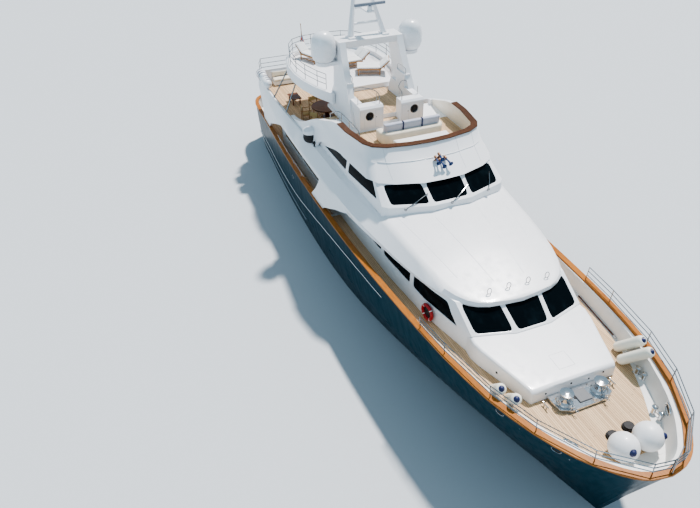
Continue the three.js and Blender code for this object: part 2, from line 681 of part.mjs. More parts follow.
const MAIN_LEVELS = [
  [1800, [[11230, 700], [10790, 2240], [8300, 2740], [5500, 2960], [2000, 3040], [HOUSE_AFT, 3040]]],
  [4090, [[11190, 700], [10760, 2220], [8300, 2730], [5500, 2950], [2000, 3030], [HOUSE_AFT, 3030]]],
  [4720, [[10090, 760], [9600, 2250], [7900, 2700], [5300, 2910], [2000, 3000], [HOUSE_AFT, 3000]]],
];
const LOUNGE_LEVELS = [
  [4700, [[5330, 860], [4800, 2560], [4560, 2800], [1200, 2990], [LOUNGE_AFT, 3030]]],
  [5790, [[5230, 860], [4700, 2560], [4480, 2780], [1200, 2970], [LOUNGE_AFT, 3000]]],
  [6500, [[4060, 880], [3560, 2480], [3360, 2640], [1000, 2860], [LOUNGE_AFT, 2950]]],
];

/** One pane outline on the centreline, seen from ahead, and one to the side of it. */
const frontPanes = ([low, high], centre, inner, outer) => [
  [[-centre[0], low], [centre[0], low], [centre[1], high], [-centre[1], high]],
  [[inner[0], low], [outer[0], low], [outer[1], high], [inner[1], high]],
];
const MAIN_FRONT = frontPanes([4120, 4680], [600, 690], [780, 850], [2060, 2110]);
const LOUNGE_FRONT = frontPanes([5850, 6350], [770, 800], [950, 970], [2440, 2450]);
const MAIN_SIDE = [
  [[7480, 3970], [10080, 3990], [9330, 4570], [7420, 4540]],
  [[5100, 3960], [7230, 3970], [7180, 4530], [5150, 4500]],
  [[3200, 3950], [4850, 3960], [4900, 4490], [3500, 4460]],
];
const SALOON_SIDE = [
  [[-8900, 3150], [-5700, 3150], [-5700, 4120], [-8900, 4120]],
  [[-5500, 3150], [-2200, 3150], [-2200, 4120], [-5500, 4120]],
];
const LOUNGE_SIDE = [
  [[1230, 5750], [4020, 5870], [3300, 6400], [1260, 6330]],
  [[-1750, 5700], [1000, 5740], [1020, 6290], [-300, 6120]],
];

const PANE_CORNER = 110;

/** Window cuts through both sides of a house. */
const sideCuts = (panes) =>
  panes.map((outline) => bothSides(sidePlate(rounded(outline, PANE_CORNER), [2000, 3300])));

/** Window cuts through the front of a house. */
const frontCuts = (panes, reach) => {
  const [middle, beside] = panes.map((outline) => frontPlate(rounded(outline, PANE_CORNER), reach));
  return [middle, bothSides(beside)];
};

/** The space of a glass band, just inside a house's skin and within a box. */
const bandSpace = (levels, inset, box) =>
  cut(house(levels, inset), house(levels, inset + 400)).intersect(box);
const glassBand = (levels, box) => {
  const outside = house(levels, GLASS_INSET + SEAT_GAP);
  return cut(outside, house(levels, GLASS_INSET + GLASS_THICK)).intersect(box);
};

const MAIN_BAND = [[3050, 11300], [-3000, 3000], [3880, 4700]];
const SALOON_BAND = [[-9050, -2050], [-3100, 3100], [3050, 4200]];
const LOUNGE_BAND = [[-1900, 5300], [-3000, 3000], [5640, 6420]];
const shrunk = (box) => box.map(([low, high]) => [low + SEAT_GAP, high - SEAT_GAP]);
const aroundUpper = withGap(upperDeck);

const DOORWAY = { half: 1000, high: 1950 };
const DOOR_LEAF = { thick: 50, lap: 40, gap: 8, lift: 20 };

/** The runner over a pair of sliding leaves, on the after face of a house. */
function doorRunner(x, leafTop) {
  const reach = 2 * DOORWAY.half + 100;
  const proud = DOOR_LEAF.gap + DOOR_LEAF.thick + 10;
  return block([x - proud, x + 10], [-reach, reach], [leafTop + SEAT_GAP, leafTop + 42]);
}
const SALOON_LEAF_TOP = aftFloor(HOUSE_AFT) + DOORWAY.high + DOOR_LEAF.lift;
const LOUNGE_DOOR_HIGH = 1780;
const LOUNGE_LEAF_TOP = UPPER_FLOOR + LOUNGE_DOOR_HIGH + DOOR_LEAF.lift;

function makeMainHouse() {
  const walls = cut(house(MAIN_LEVELS, 0), house(MAIN_LEVELS, HOUSE_WALL));
  const shell = join(walls, doorRunner(HOUSE_AFT, SALOON_LEAF_TOP));
  const doorwayTop = aftFloor(HOUSE_AFT) + DOORWAY.high;
  const doorway = block([HOUSE_AFT - 50, HOUSE_AFT + 200], [-DOORWAY.half, DOORWAY.half], [0, doorwayTop]);
  return cut(
    shell,
    overHull,
    aroundUpper,
    block([-FAR, 4150], [-FAR, FAR], [UPPER_FLOOR - 50, FAR]),
    bandSpace(MAIN_LEVELS, GLASS_INSET, block(...MAIN_BAND)),
    bandSpace(MAIN_LEVELS, GLASS_INSET, block(...SALOON_BAND)),
    ...sideCuts([...MAIN_SIDE, ...SALOON_SIDE]),
    ...frontCuts(MAIN_FRONT, [9000, 12000]),
    doorway,
  );
}

const mainHouse = makeMainHouse();
part("main_deckhouse", mainHouse, WHITE);
const mainGlass = cut(glassBand(MAIN_LEVELS, block(...shrunk(MAIN_BAND))), aroundUpper);
part("main_front_glass", mainGlass, GLASS);
const saloonGlass = glassBand(MAIN_LEVELS, block(...shrunk(SALOON_BAND)));
for (const [name, side] of SIDES) {
  const half = block([-FAR, FAR], side > 0 ? [0, FAR] : [-FAR, 0], [0, FAR]);
  part(`saloon_glass_${name}`, saloonGlass.intersect(half), GLASS);
}

// Columns: x, half-breadth and height of the top's edge.
const TRUNK_RINGS = [
  [10500, 2260, 4080],
  [11000, 2320, 4050],
  [11400, 2250, 4020],
  [12300, 1970, 3955],
  [13080, 1740, 3900],
  [13320, 1670, 3870],
  [13420, 1635, 3800],
  [13460, 1600, 3690],
];
const TRUNK_FOOT = 3000;

/** The low trunk ahead of the deckhouse, or a copy that is larger by some clearance. */
function makeTrunk(clearance) {
  const rings = TRUNK_RINGS.map(([length, breadth, high]) => {
    const ahead = length > TRUNK_RINGS[0][0] ? clearance : -clearance;
    const [x, half] = [length + ahead, breadth + clearance];
    const edge = [[x, half - 10, high - 130], [x, half - 40, high - 45], [x, half - 120, high]];
    return mirrorRing([[x, half, TRUNK_FOOT], ...edge, [x, half / 2, high + 30]]);
  });
  return loft(rings);
}
const overHouse = moved(house(MAIN_LEVELS, 0), SEAT_GAP, 0, 0);
const trunk = cut(makeTrunk(0), overHouse, overHull);
part("foredeck_trunk", trunk, WHITE);
const clearOfHouse = house(MAIN_LEVELS, -8);
const stepsEnd = TRANSOM + STERN_STEPS.run * STERN_STEPS.count + 10;
const sternHoles = bothSides(block([-FAR, stepsEnd], [STERN_STEPS.y[0] - 10, FAR], [0, FAR]));
const aftTeak = planking(aftFloor, [TRANSOM + BULWARK + 40, STEP_START - 5], 60, clearOfHouse, sternHoles);
part("aft_deck_teak", aftTeak, TEAK);

// Sundeck over the wheelhouse, with its coaming, brow and a wing each side

const SUNDECK_AFT = LOUNGE_AFT + 40;
const SUNDECK_LEVELS = [
  [
    SUNDECK_UNDER - 30,
    [[4480, 0], [4430, 900], [4080, 2000], [3700, 2600], [3150, 2900], [1000, 3080], [SUNDECK_AFT, 3155]],
  ],
  [
    6950,
    [[3650, 0], [3600, 900], [3380, 1900], [3050, 2430], [2700, 2680], [1000, 2930], [SUNDECK_AFT, 3080]],
  ],
  [
    COAMING_TOP,
    [[3200, 0], [3150, 900], [2950, 1900], [2650, 2420], [2250, 2650], [900, 2890], [SUNDECK_AFT, 3005]],
  ],
];
const WING_TOP = curved(
  [
    [-7000, 5390], [-6000, 5480], [-5000, 5680], [-4000, 6050],
    [-2900, 6600], [-1500, 7080], [-600, 7380], [0, COAMING_TOP],
  ],
  14,
);
const WING_FOOT = curved(
  [[-2400, 5300], [-2250, 5640], [-1900, 5880], [-1300, 6090], [-600, 6270], [200, 6440]],
  8,
);
const WING_LEAN = 0.14;
const WING_TAPER = 0.055;
const TAIL = [[LOUNGE_AFT, 1850], [-4400, 1850], [-4400, -1850], [LOUNGE_AFT, -1850]];
const COAMING = 220;
const SIDELIGHT = {
  at: [-3000, 3300],
  profile: [[0, 5900], [350, 5900], [370, 5950], [330, 6060], [200, 6150], [0, 6185]],
};

function makeSundeck() {
  const outside = house(SUNDECK_LEVELS, 0);
  const aboveFloor = block([-FAR, FAR], [-FAR, FAR], [SUNDECK_FLOOR, FAR]);
  const inside = house(SUNDECK_LEVELS, COAMING).intersect(aboveFloor);
  const openEnd = block([-FAR, -1500], [-2770, 2770], [SUNDECK_FLOOR, FAR]);
  const above = sidePlate([...WING_TOP, [0, 9000], [-9000, 9000], [-9000, 5390]], [-FAR, FAR]);
  const wingShape = [...WING_TOP, ...[...WING_FOOT].reverse(), [-7000, 5300]];
  const leaning = sidePlate(wingShape, [3100, 3300]).warp((vertex) => {
    vertex[1] -= (vertex[2] - 5400) * WING_LEAN + Math.max(vertex[0] - SUNDECK_AFT, 0) * WING_TAPER;
  });
  const tail = planPlate(TAIL, [SUNDECK_UNDER, SUNDECK_FLOOR]);
  const bridge = block([LOUNGE_AFT, LOUNGE_AFT + 300], [-2900, 2900], [SUNDECK_UNDER, SUNDECK_FLOOR]);
  const tub = cut(outside, inside, openEnd, above);
  const hood = turned(SIDELIGHT.profile, SIDELIGHT.at, 20);
  const underWing = block([-FAR, LOUNGE_AFT], [-FAR, FAR], [0, 5440]);
  const whole = join(tub, bothSides(join(cut(leaning, inside), hood)), tail, bridge);
  const foreAndAft = [-SEAT_GAP, SEAT_GAP].map((gap) => moved(upperDeck, gap, 0, 0));
  return cut(whole, underWing, aroundUpper, ...foreAndAft);
}

const sundeck = makeSundeck();
part("sundeck", sundeck, WHITE);

// The cap is a band on the coaming that stands a little proud of it outside.
const SUNDECK_CAP = { outside: -50, inside: 250, thick: 50, end: 0 };
const coamingOutline = [...SUNDECK_LEVELS[2][1]].reverse().map(([x, y]) => [x, Math.max(y, 150)]);
const capHeights = [COAMING_TOP + SEAT_GAP, COAMING_TOP + SEAT_GAP + SUNDECK_CAP.thick];
const capBand = [SUNDECK_CAP.outside, SUNDECK_CAP.inside].map((inset) =>
  planPlate(insetOutline(coamingOutline, -inset), capHeights),
);
const capStretch = block([SUNDECK_CAP.end, FAR], [-FAR, FAR], [0, FAR]);
const sundeckCap = cut(capBand[0], capBand[1]).intersect(capStretch);
part("sundeck_cap_rail", sundeckCap, VARNISH);

const aroundSundeck = withGap(sundeck);

function makeLounge() {
  const walls = cut(house(LOUNGE_LEVELS, 0), house(LOUNGE_LEVELS, HOUSE_WALL));
  const shell = join(walls, doorRunner(LOUNGE_AFT, LOUNGE_LEAF_TOP));
  const bulkheadHeights = [UPPER_FLOOR + SEAT_GAP, 5500];
  const bulkhead = block([LOUNGE_AFT, LOUNGE_AFT + HOUSE_WALL], [-2830, 2830], bulkheadHeights);
  const doorwayTop = UPPER_FLOOR + LOUNGE_DOOR_HIGH;
  const doorSides = [-DOORWAY.half, DOORWAY.half];
  const doorway = block([LOUNGE_AFT - 50, LOUNGE_AFT + 200], doorSides, [UPPER_FLOOR, doorwayTop]);
  return cut(
    join(shell, bulkhead),
    aroundUpper,
    aroundSundeck,
    block([-FAR, FAR], [-FAR, FAR], [SUNDECK_UNDER - 1, FAR]),
    bandSpace(LOUNGE_LEVELS, GLASS_INSET, block(...LOUNGE_BAND)),
    ...sideCuts(LOUNGE_SIDE),
    ...frontCuts(LOUNGE_FRONT, [3300, 6000]),
    doorway,
  );
}
part("wheelhouse", makeLounge(), WHITE);
const loungeGlass = cut(glassBand(LOUNGE_LEVELS, block(...shrunk(LOUNGE_BAND))), aroundSundeck, aroundUpper);
part("wheelhouse_glass", loungeGlass, GLASS);

// Sliding doors, one leaf each side of the centreline, on the after face of each house

for (const [room, x, floor, height] of [
  ["saloon", HOUSE_AFT, aftFloor(HOUSE_AFT), DOORWAY.high],
  ["lounge", LOUNGE_AFT, UPPER_FLOOR, LOUNGE_DOOR_HIGH],
]) {
  const leaf = block(
    [x - DOOR_LEAF.gap - DOOR_LEAF.thick, x - DOOR_LEAF.gap],
    [5, DOORWAY.half + DOOR_LEAF.lap],
    [floor + DOOR_LEAF.lift, floor + height + DOOR_LEAF.lift],
  );
  for (const [name, side] of SIDES) part(`${room}_door_${name}`, onSide(leaf, side), GLASS);
}

// Aft sundeck

const WAIST = 1280;
const AFT_EDGE = [
  [-3480, 1900], [-4100, 2150], [-4750, 2400], [-5900, 2680], [-7100, 2800],
  [-8400, 2740], [-9600, 2440], [-10400, 1980], [-10800, 1300], [-10900, 600],
];
const RIM = { width: 360, z: [6940, 7450] };
const LANDING = { x: [-4400, -1200], top: 7010, step: { x: [-1210, -880], half: 430, top: 6800 } };
const landingFoot = SUNDECK_FLOOR + SEAT_GAP;
const BETWEEN_LEGS = block([-4360, FAR], [-1765, 1765], [0, FAR]);
const mirrorOutline = (half) => [...half, ...[...half].reverse().map(([x, y]) => [x, -y])];
const rimInside = planPlate(insetOutline(AFT_EDGE, RIM.width), [0, FAR]);
const aftSundeck = join(
  cut(planPlate(mirrorOutline(AFT_EDGE), AFT_SUNDECK), BETWEEN_LEGS),
  cut(planPlate(mirrorOutline(AFT_EDGE), RIM.z), rimInside, BETWEEN_LEGS),
  block(LANDING.x, [-WAIST, WAIST], [landingFoot, LANDING.top]),
  block(LANDING.step.x, [-LANDING.step.half, LANDING.step.half], [landingFoot, LANDING.step.top]),
);
part("aft_sundeck", aftSundeck, WHITE);

const STAIR = { x: [-5400, LOUNGE_AFT - 80], y: [-2750, -2050], count: 9 };
const stairRise = (SUNDECK_FLOOR - UPPER_FLOOR) / STAIR.count;
const stairRun = (STAIR.x[1] - STAIR.x[0]) / STAIR.count;
const stairOutline = [[STAIR.x[0], UPPER_FLOOR + SEAT_GAP]];
for (let k = 0; k < STAIR.count; k++) {
  const height = UPPER_FLOOR + stairRise * (k + 1);
  stairOutline.push([STAIR.x[0] + stairRun * k, height], [STAIR.x[0] + stairRun * (k + 1), height]);
}
stairOutline.push([STAIR.x[1], SUNDECK_FLOOR - 400], [STAIR.x[0] + 500, UPPER_FLOOR + SEAT_GAP]);
part("sundeck_stairs", sidePlate(stairOutline, STAIR.y), TEAK);

const teakLevel = [SUNDECK_FLOOR + SEAT_GAP, SUNDECK_FLOOR + 15];
const sundeckTeak = house(SUNDECK_LEVELS, COAMING + 30).intersect(block([-550, FAR], [-FAR, FAR], teakLevel));
part("sundeck_teak", sundeckTeak, TEAK);

// Arch with its lockers, domes and mast

const ARCH_TOP = 9950;
const BEAM_DEPTH = 310;
const LEG = [
  [-1150, SUNDECK_FLOOR + SEAT_GAP], [-1500, 7200], [-2250, 8400], [-2800, 9300], [-3100, ARCH_TOP],
  [-4100, ARCH_TOP], [-4050, 9200], [-3800, 8500], [-3800, 7800], [-4150, 7250],
  [-4350, SUNDECK_FLOOR + SEAT_GAP],
];
const LEG_LEAN = 0.05;
const LOCKER = { x: [-1190, -650], y: [440, 1600], z: [SUNDECK_FLOOR + SEAT_GAP, 7720], chamfer: 90 };
const SIDE_WALL = { x: [-3700, -1180], y: [WAIST + 10, 1600], z: [SUNDECK_FLOOR + SEAT_GAP, 7740] };
const CABINET = { x: [-3100, -2150], y: [WAIST + 10, 1600], z: [7700, 8350] };
const HOLE = { y: 1120, z: 7270, radius: 195, depth: 120 };
const DOME_AT = [-3570, 2220];
const DOME_FOOT = 9060;

function makeArch() {
  const leg = sidePlate(LEG, [1450, 1760]).warp((vertex) => {
    vertex[1] -= (vertex[2] - SUNDECK_FLOOR) * LEG_LEAN;
  });
  const [[back, front], [low, high]] = [LOCKER.x, LOCKER.z];
  const face = [[front, low], [front, high - LOCKER.chamfer], [front - LOCKER.chamfer, high]];
  const locker = sidePlate([...face, [back, high], [back, low]], LOCKER.y);
  const [holeBack, holeFront] = [front - HOLE.depth, front + 50].map((x) => [x, HOLE.y, HOLE.z]);
  const hole = rod(holeBack, holeFront, HOLE.radius, HOLE.radius, 24);
  const cabinets = join(block(SIDE_WALL.x, SIDE_WALL.y, SIDE_WALL.z), block(CABINET.x, CABINET.y, CABINET.z));
  const shelf = block([-3900, -3240], [1500, 2300], [DOME_FOOT - 160, DOME_FOOT]);
  const seat = rod([...DOME_AT, DOME_FOOT - 160], [...DOME_AT, DOME_FOOT], 380, 400, 24);
  const side = cut(join(leg, locker, cabinets, shelf, seat), hole);
  const under = ARCH_TOP - BEAM_DEPTH;
  const beamOutline = [[-3150, under], [-3100, ARCH_TOP], [-4100, ARCH_TOP], [-4080, under]];
  const beam = sidePlate(beamOutline, [-1500, 1500]);
  return join(bothSides(side), beam);
}
const arch = makeArch();
part("arch", arch, WHITE);

// Columns: radius, then height above the dome's foot.
const DOME = [
  [0, 0], [360, 0], [500, 120], [585, 360], [585, 800], [530, 1070], [400, 1260], [220, 1360], [0, 1380],
];
for (const [name, side] of SIDES) {
  const dome = turned(DOME, [DOME_AT[0], side * DOME_AT[1]], 32);
  part(`sat_dome_${name}`, moved(dome, 0, 0, DOME_FOOT + SEAT_GAP), WHITE);
}

const MAST = { foot: [-3600, 850, ARCH_TOP + SEAT_GAP], head: [-4350, 330, 12000], pad: 70 };
const RADAR = { x: -3300, z: 11190, reach: 750, rise: 150 };

function makeMast() {
  const [footX, footY, footZ] = MAST.foot;
  const pad = block([footX - 300, footX + 300], [footY - 150, footY + 150], [footZ, footZ + MAST.pad]);
  const leg = join(rod([footX, footY, footZ + MAST.pad / 2], MAST.head, 150, 75, 8), pad);
  const barAt = (z) => {
    const share = (z - MAST.foot[2]) / (MAST.head[2] - MAST.foot[2]);
    return MAST.foot.map((value, k) => value + (MAST.head[k] - value) * share);
  };
  const bars = [10500, 11150, 11900].map((z) => {
    const [x, y, height] = barAt(z);
    return rod([x, -y, height], [x, y, height], 60, 60, 8);
  });
  const [shelfX, , shelfZ] = barAt(11150);
  const shelf = block([shelfX, RADAR.x + 160], [-180, 180], [shelfZ - 60, shelfZ]);
  const pedestal = rod([RADAR.x, 0, shelfZ - 20], [RADAR.x, 0, RADAR.z + RADAR.rise], 130, 100, 16);
  const whips = [-1, 1].map((side) => {
    const [x, y, z] = barAt(11900);
    return rod([x, side * y, z], [x - 100, side * (y + 60), z + 1700], 14, 8, 6);
  });
  return cut(join(bothSides(leg), ...bars, shelf, pedestal, ...whips), moved(arch, 0, 0, SEAT_GAP));
}
part("mast", makeMast(), WHITE);

const scannerZ = RADAR.z + RADAR.rise + SEAT_GAP;
const scanner = join(
  block([RADAR.x - 60, RADAR.x + 60], [-RADAR.reach, RADAR.reach], [scannerZ + 40, scannerZ + 150]),
  rod([RADAR.x, 0, scannerZ], [RADAR.x, 0, scannerZ + 60], 60, 60, 16),
);
part("radar_scanner", scanner, WHITE);

// Rails

/** Level bars on posts that lean out. Feet are [x, y, z] points, and bars are heights above them. */
function railing(feet, bars, lean, radius) {
  const top = Math.max(...bars);
  const outward = ([x, y, z], height) => [x, y + (Math.sign(y) * lean * height) / top, z + height];
  const posts = feet.map((foot) => rod(outward(foot, -30), outward(foot, top), radius, radius, 4));
  const lines = bars.map((height) => pipe(feet.map((foot) => outward(foot, height)), radius, 4));
  return join(...posts, ...lines);
}

/** The points of a row that are at least a spacing apart, with its last point kept. */
function spaced(points, spacing) {
  const kept = [points[0]];
  points.slice(1).forEach((point) => {
    const last = kept.at(-1);
    if (Math.hypot(point[0] - last[0], point[1] - last[1]) >= spacing) kept.push(point);
  });
  return kept;
}

const BOW_RAIL = { start: 8800, bars: [180, 350, 520], lean: 50, radius: 19, spacing: 1250 };
const bowFeet = railInset(BULWARK / 2)
  .filter(([x]) => x > BOW_RAIL.start)
  .map(([x, y, z]) => [x, y, z + CAP_THICK + 2 * SEAT_GAP]);
const bowHalf = spaced(bowFeet, BOW_RAIL.spacing).filter(([, y]) => y > 500);
const bowPath = mirrorPath([...bowHalf, bowFeet.at(-1)]);
const bowRail = railing(bowPath, BOW_RAIL.bars, BOW_RAIL.lean, BOW_RAIL.radius);
part("bow_rail", cut(bowRail, moved(capRail, 0, 0, SEAT_GAP), overHull), STEEL);

const rimMiddle = insetOutline(AFT_EDGE, RIM.width * 0.6).slice(0, AFT_EDGE.length);
const sternSundeck = rimMiddle.filter(([x]) => x < -4000).map(([x, y]) => [x, y, RIM.z[1]]);
const sundeckFeet = mirrorPath([...sternSundeck, [sternSundeck.at(-1)[0], 0, RIM.z[1]]]);
const sundeckRail = railing(sundeckFeet, [250, 500, 750], 0, 18);
part("aft_sundeck_rail", cut(sundeckRail, moved(aftSundeck, 0, 0, SEAT_GAP)), STEEL);

const capEdge = upperRows.map((row) => row[3]);
const sternFeet = spaced(capEdge.filter(([x]) => x < -13000).reverse(), 700).map(([x, y, z]) => [
  Math.max(x, UPPER_AFT + 85),
  y - 60,
  z,
]);
const sternLoop = [...sternFeet, ...sternFeet.map(([x, y, z]) => [x, -y, z]).reverse()];
part("upper_stern_rail", cut(railing(sternLoop, [250, 500, 800], 0, 18), aroundUpper), STEEL);

const PILLARS = [
  [[-9250, capMiddle(-9250), 5400], [-9190, 2400, 7050]],
  [[-6900, capMiddle(-6900), 5400], [-7090, 2600, 7050]],
];
const HANDRAIL = [-10150, -9250, -8050, -6900];

/** The handrail on the upper bulwark, with the two struts that hold the aft sundeck. */
function makeSideRail() {
  const feet = HANDRAIL.map((x) => [x, capMiddle(x), 5425]);
  const struts = PILLARS.map(([foot, head]) => rod(foot, head, 38, 38, 8));
  const rail = railing(feet, [130], 0, 18);
  return join(rail, ...struts);
}
const sideRail = makeSideRail();
for (const [name, side] of SIDES) {
  part(`upper_side_rail_${name}`, cut(onSide(sideRail, side), aroundUpper, withGap(aftSundeck)), STEEL);
}

// Liferafts in their canisters, on the after part of each upper bulwark

const RAFTS = {
  ends: [[-12750, -11650], [-11500, -10400]],
  radius: 270,
  foot: 5440,
  cradle: [-12500, -10650],
};

function makeRafts() {
  const canisters = RAFTS.ends.map(([aft, fore]) => {
    const height = RAFTS.foot + RAFTS.radius + 20;
    return capsule([aft, capMiddle(aft), height], [fore, capMiddle(fore), height], RAFTS.radius, 12);
  });
  const [aft, fore] = RAFTS.cradle;
  const cradle = pipe([aft, fore].map((x) => [x, capMiddle(x), RAFTS.foot + 20]), 60, 4);
  return join(...canisters, cradle);
}
const rafts = makeRafts();
for (const [name, side] of SIDES) part(`liferafts_${name}`, cut(onSide(rafts, side), aroundUpper), WHITE);

// Deck gear

const PLINTH = [[13350, 1050], [14080, 1000], [14250, 650], [14250, -650], [14080, -1000], [13350, -1050]];
const PLINTH_TOP = 3480;
const CAPSTAN = [
  [0, 3450], [260, 3450], [260, 3520], [170, 3560], [140, 3680],
  [150, 3780], [210, 3830], [210, 3870], [0, 3890],
];
const capstans = bothSides(turned(CAPSTAN, [13850, 650], 16));
const windlass = cut(join(planPlate(PLINTH, [3200, PLINTH_TOP]), capstans), overHull, makeTrunk(SEAT_GAP));
part("windlass", windlass, STEEL);
const HATCH = { x: [13620, 14080], half: 230, z: [PLINTH_TOP + SEAT_GAP, PLINTH_TOP + 40] };
part("chain_hatch", block(HATCH.x, [-HATCH.half, HATCH.half], HATCH.z), GREY);

const widerPlinth = PLINTH.map(([x, y]) => [x + Math.sign(x - 13700) * 8, y + Math.sign(y) * 8]);
const clearPlinth = planPlate(widerPlinth, [3000, 3600]);
const foreTeak = planking(foreFloor, [foreStart + 10, 16200], 130, clearOfHouse, makeTrunk(8), clearPlinth);
part("foredeck_teak", foreTeak, TEAK);

const BALL_FENDERS = [[16030, -370], [16010, 530]];
const BALL_RADIUS = 440;
for (const [k, [x, y]] of BALL_FENDERS.entries()) {
  const rest = foreFloor(x) + PLANK + BALL_RADIUS - 5;
  const fender = cut(ball([x, y, rest], BALL_RADIUS, 18), moved(foreTeak, 0, 0, SEAT_GAP));
  part(`ball_fender_${k + 1}`, fender, WHITE);
}

// Columns: the lower and upper ends of each long fender, on the port side.
const LONG_FENDERS = [
  [[12511, 2466, 3376], [13309, 2714, 4400]],
  [[13035, 2148, 3381], [13845, 2552, 4437]],
];
const LONG_RADIUS = 180;
const fenderPair = cut(
  join(
    ...LONG_FENDERS.map(([low, high]) => capsule(low, high, LONG_RADIUS)),
    rod([12800, 2556, 3750], [13300, 2280, 3730], 15, 15, 6),
  ),
  moved(foreTeak, 0, 0, SEAT_GAP),
  overHull,
  moved(capRail, 0, 0, SEAT_GAP),
  makeTrunk(SEAT_GAP),
);
for (const [name, side] of SIDES) part(`long_fenders_${name}`, onSide(fenderPair, side), CREAM);

const RING = { at: [8640, 2690, 3640], radius: 290, tube: 60, tilt: 15 };
const ringGeometry = new THREE.TorusGeometry(RING.radius, RING.tube, 8, 24);
ringGeometry.rotateX(Math.PI / 2);
ringGeometry.rotateZ((-RING.tilt * Math.PI) / 180);
ringGeometry.translate(RING.at[0], -RING.at[1] - RING.tube - 25, RING.at[2]);
part("life_ring", cut(solid(ringGeometry), house(MAIN_LEVELS, -SEAT_GAP)), RED);

const jackFoot = [17320, 0, railHeight(17320) + 2 * SEAT_GAP];
const jackEnds = [[jackFoot[0], 0, jackFoot[2] - 40], [jackFoot[0] - 30, 0, jackFoot[2] + 1150]];
const jackstaff = rod(...jackEnds, 22, 12, 8);
part("jackstaff", cut(jackstaff, moved(capRail, 0, 0, SEAT_GAP), overHull), STEEL);

const ENSIGN = { foot: [-14175, 0, 5250], head: [-14480, 0, 7750] };
const ensignStaff = rod(ENSIGN.foot, ENSIGN.head, 22, 14, 8);
const [staffX, , staffZ] = ENSIGN.head;
const CLOTH = [[-10, -80], [70, -700], [-230, -1130], [-330, -500]];
const ensignCloth = sidePlate(CLOTH.map(([x, z]) => [staffX + x, staffZ + z]), [-6, 6]);
part("ensign", cut(join(ensignStaff, ensignCloth), aroundUpper), VARNISH);

// Furniture

const seatLevel = SUNDECK_FLOOR + PLANK + SEAT_GAP;
const SOFA = {
  x: [410, 1190],
  y: [-1280, 1780],
  seat: 7000,
  back: 7250,
  wall: 330,
  cushion: 7500,
  corner: 420,
};
const sofaOutline = (inset) => {
  const [[x0, x1], [y0, y1]] = [SOFA.x, SOFA.y];
  const corners = [[x1 - inset, y0 + inset], [x1 - inset, y1 - inset]];
  const outline = [[x0 - 1000, y0 + inset], ...corners, [x0 - 1000, y1 - inset]];
  const front = rounded(outline, SOFA.corner - inset, 4);
  return planPlate(front, [seatLevel, FAR]);
};
const sofaBox = (top) => block(SOFA.x, [-FAR, FAR], [seatLevel, top]);
const sofaShell = sofaOutline(0).intersect(sofaBox(SOFA.back));
const sofaWell = sofaOutline(SOFA.wall).intersect(block([-FAR, FAR], [-FAR, FAR], [SOFA.seat, FAR]));
const sofaBacks = cut(sofaOutline(60), sofaOutline(SOFA.wall)).intersect(sofaBox(SOFA.cushion));
part("sofa", join(cut(sofaShell, sofaWell), sofaBacks), GREY);
const SUNPAD = [[1480, -1000], [2300, -900], [2480, -500], [2480, 1150], [2300, 1600], [1480, 1700]];
part("sunpad", planPlate(SUNPAD, [seatLevel, 7050]), WHITE);

/** A wooden lounger lying along X, head aft, before it is turned and set in place. */
function makeLounger(half) {
  const seat = block([-450, 850], [-half, half], [300, 380]);
  const back = sidePlate([[-440, 310], [-390, 366], [-851, 781], [-901, 725]], [-half, half]);
  const legs = [-400, 780].map((x) => bothSides(block([x - 30, x + 30], [half - 90, half - 30], [0, 310])));
  return join(seat, back, ...legs);
}
// Columns: x, y, the angle in degrees that it is turned by, and its half-width.
const LOUNGERS = [[-7540, 680, -90, 620], [-5950, 1270, -112, 500], [-9250, -1150, 22, 330]];
LOUNGERS.forEach(([x, y, turn, half], k) => {
  const lounger = makeLounger(half).rotate([0, 0, turn]);
  part(`lounger_${k + 1}`, moved(lounger, x, y, AFT_SUNDECK[1] + SEAT_GAP), CREAM);
});

const TABLE = { at: [-7100, -1000], radius: 850, top: 5330 };
const tableProfile = [
  [0, UPPER_FLOOR + SEAT_GAP],
  [380, UPPER_FLOOR + SEAT_GAP],
  [380, UPPER_FLOOR + 40],
  [110, UPPER_FLOOR + 60],
  [110, TABLE.top - 60],
  [TABLE.radius, TABLE.top - 60],
  [TABLE.radius, TABLE.top],
  [0, TABLE.top],
];
part("dining_table", turned(tableProfile, TABLE.at, 28), VARNISH);

const bench = join(
  block([-13750, -12950], [-2400, 2400], [UPPER_FLOOR + SEAT_GAP, 5020]),
  block([-13750, -13500], [-2400, 2400], [5000, 5360]),
);
part("upper_bench", bench, CREAM);
const settee = join(
  block([-15250, -14500], [-1150, 1150], [aftFloor(-14500) + PLANK + SEAT_GAP, 2560]),
  block([-15250, -15020], [-1150, 1150], [2550, 2850]),
);
part("aft_settee", settee, CREAM);

export default yacht;
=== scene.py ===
"""The looks of a motor yacht afloat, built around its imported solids.

Metres, in the frame of the solids: +X to the bow, +Y to port, +Z up, and the water at z = 0.
"""

from __future__ import annotations

import json
import logging
import math
from collections.abc import Callable, Iterable, Sequence
from dataclasses import dataclass, field
from enum import Enum

import bmesh
import bpy
import numpy as np
from mathutils import Matrix, Vector
from mathutils.bvhtree import BVHTree

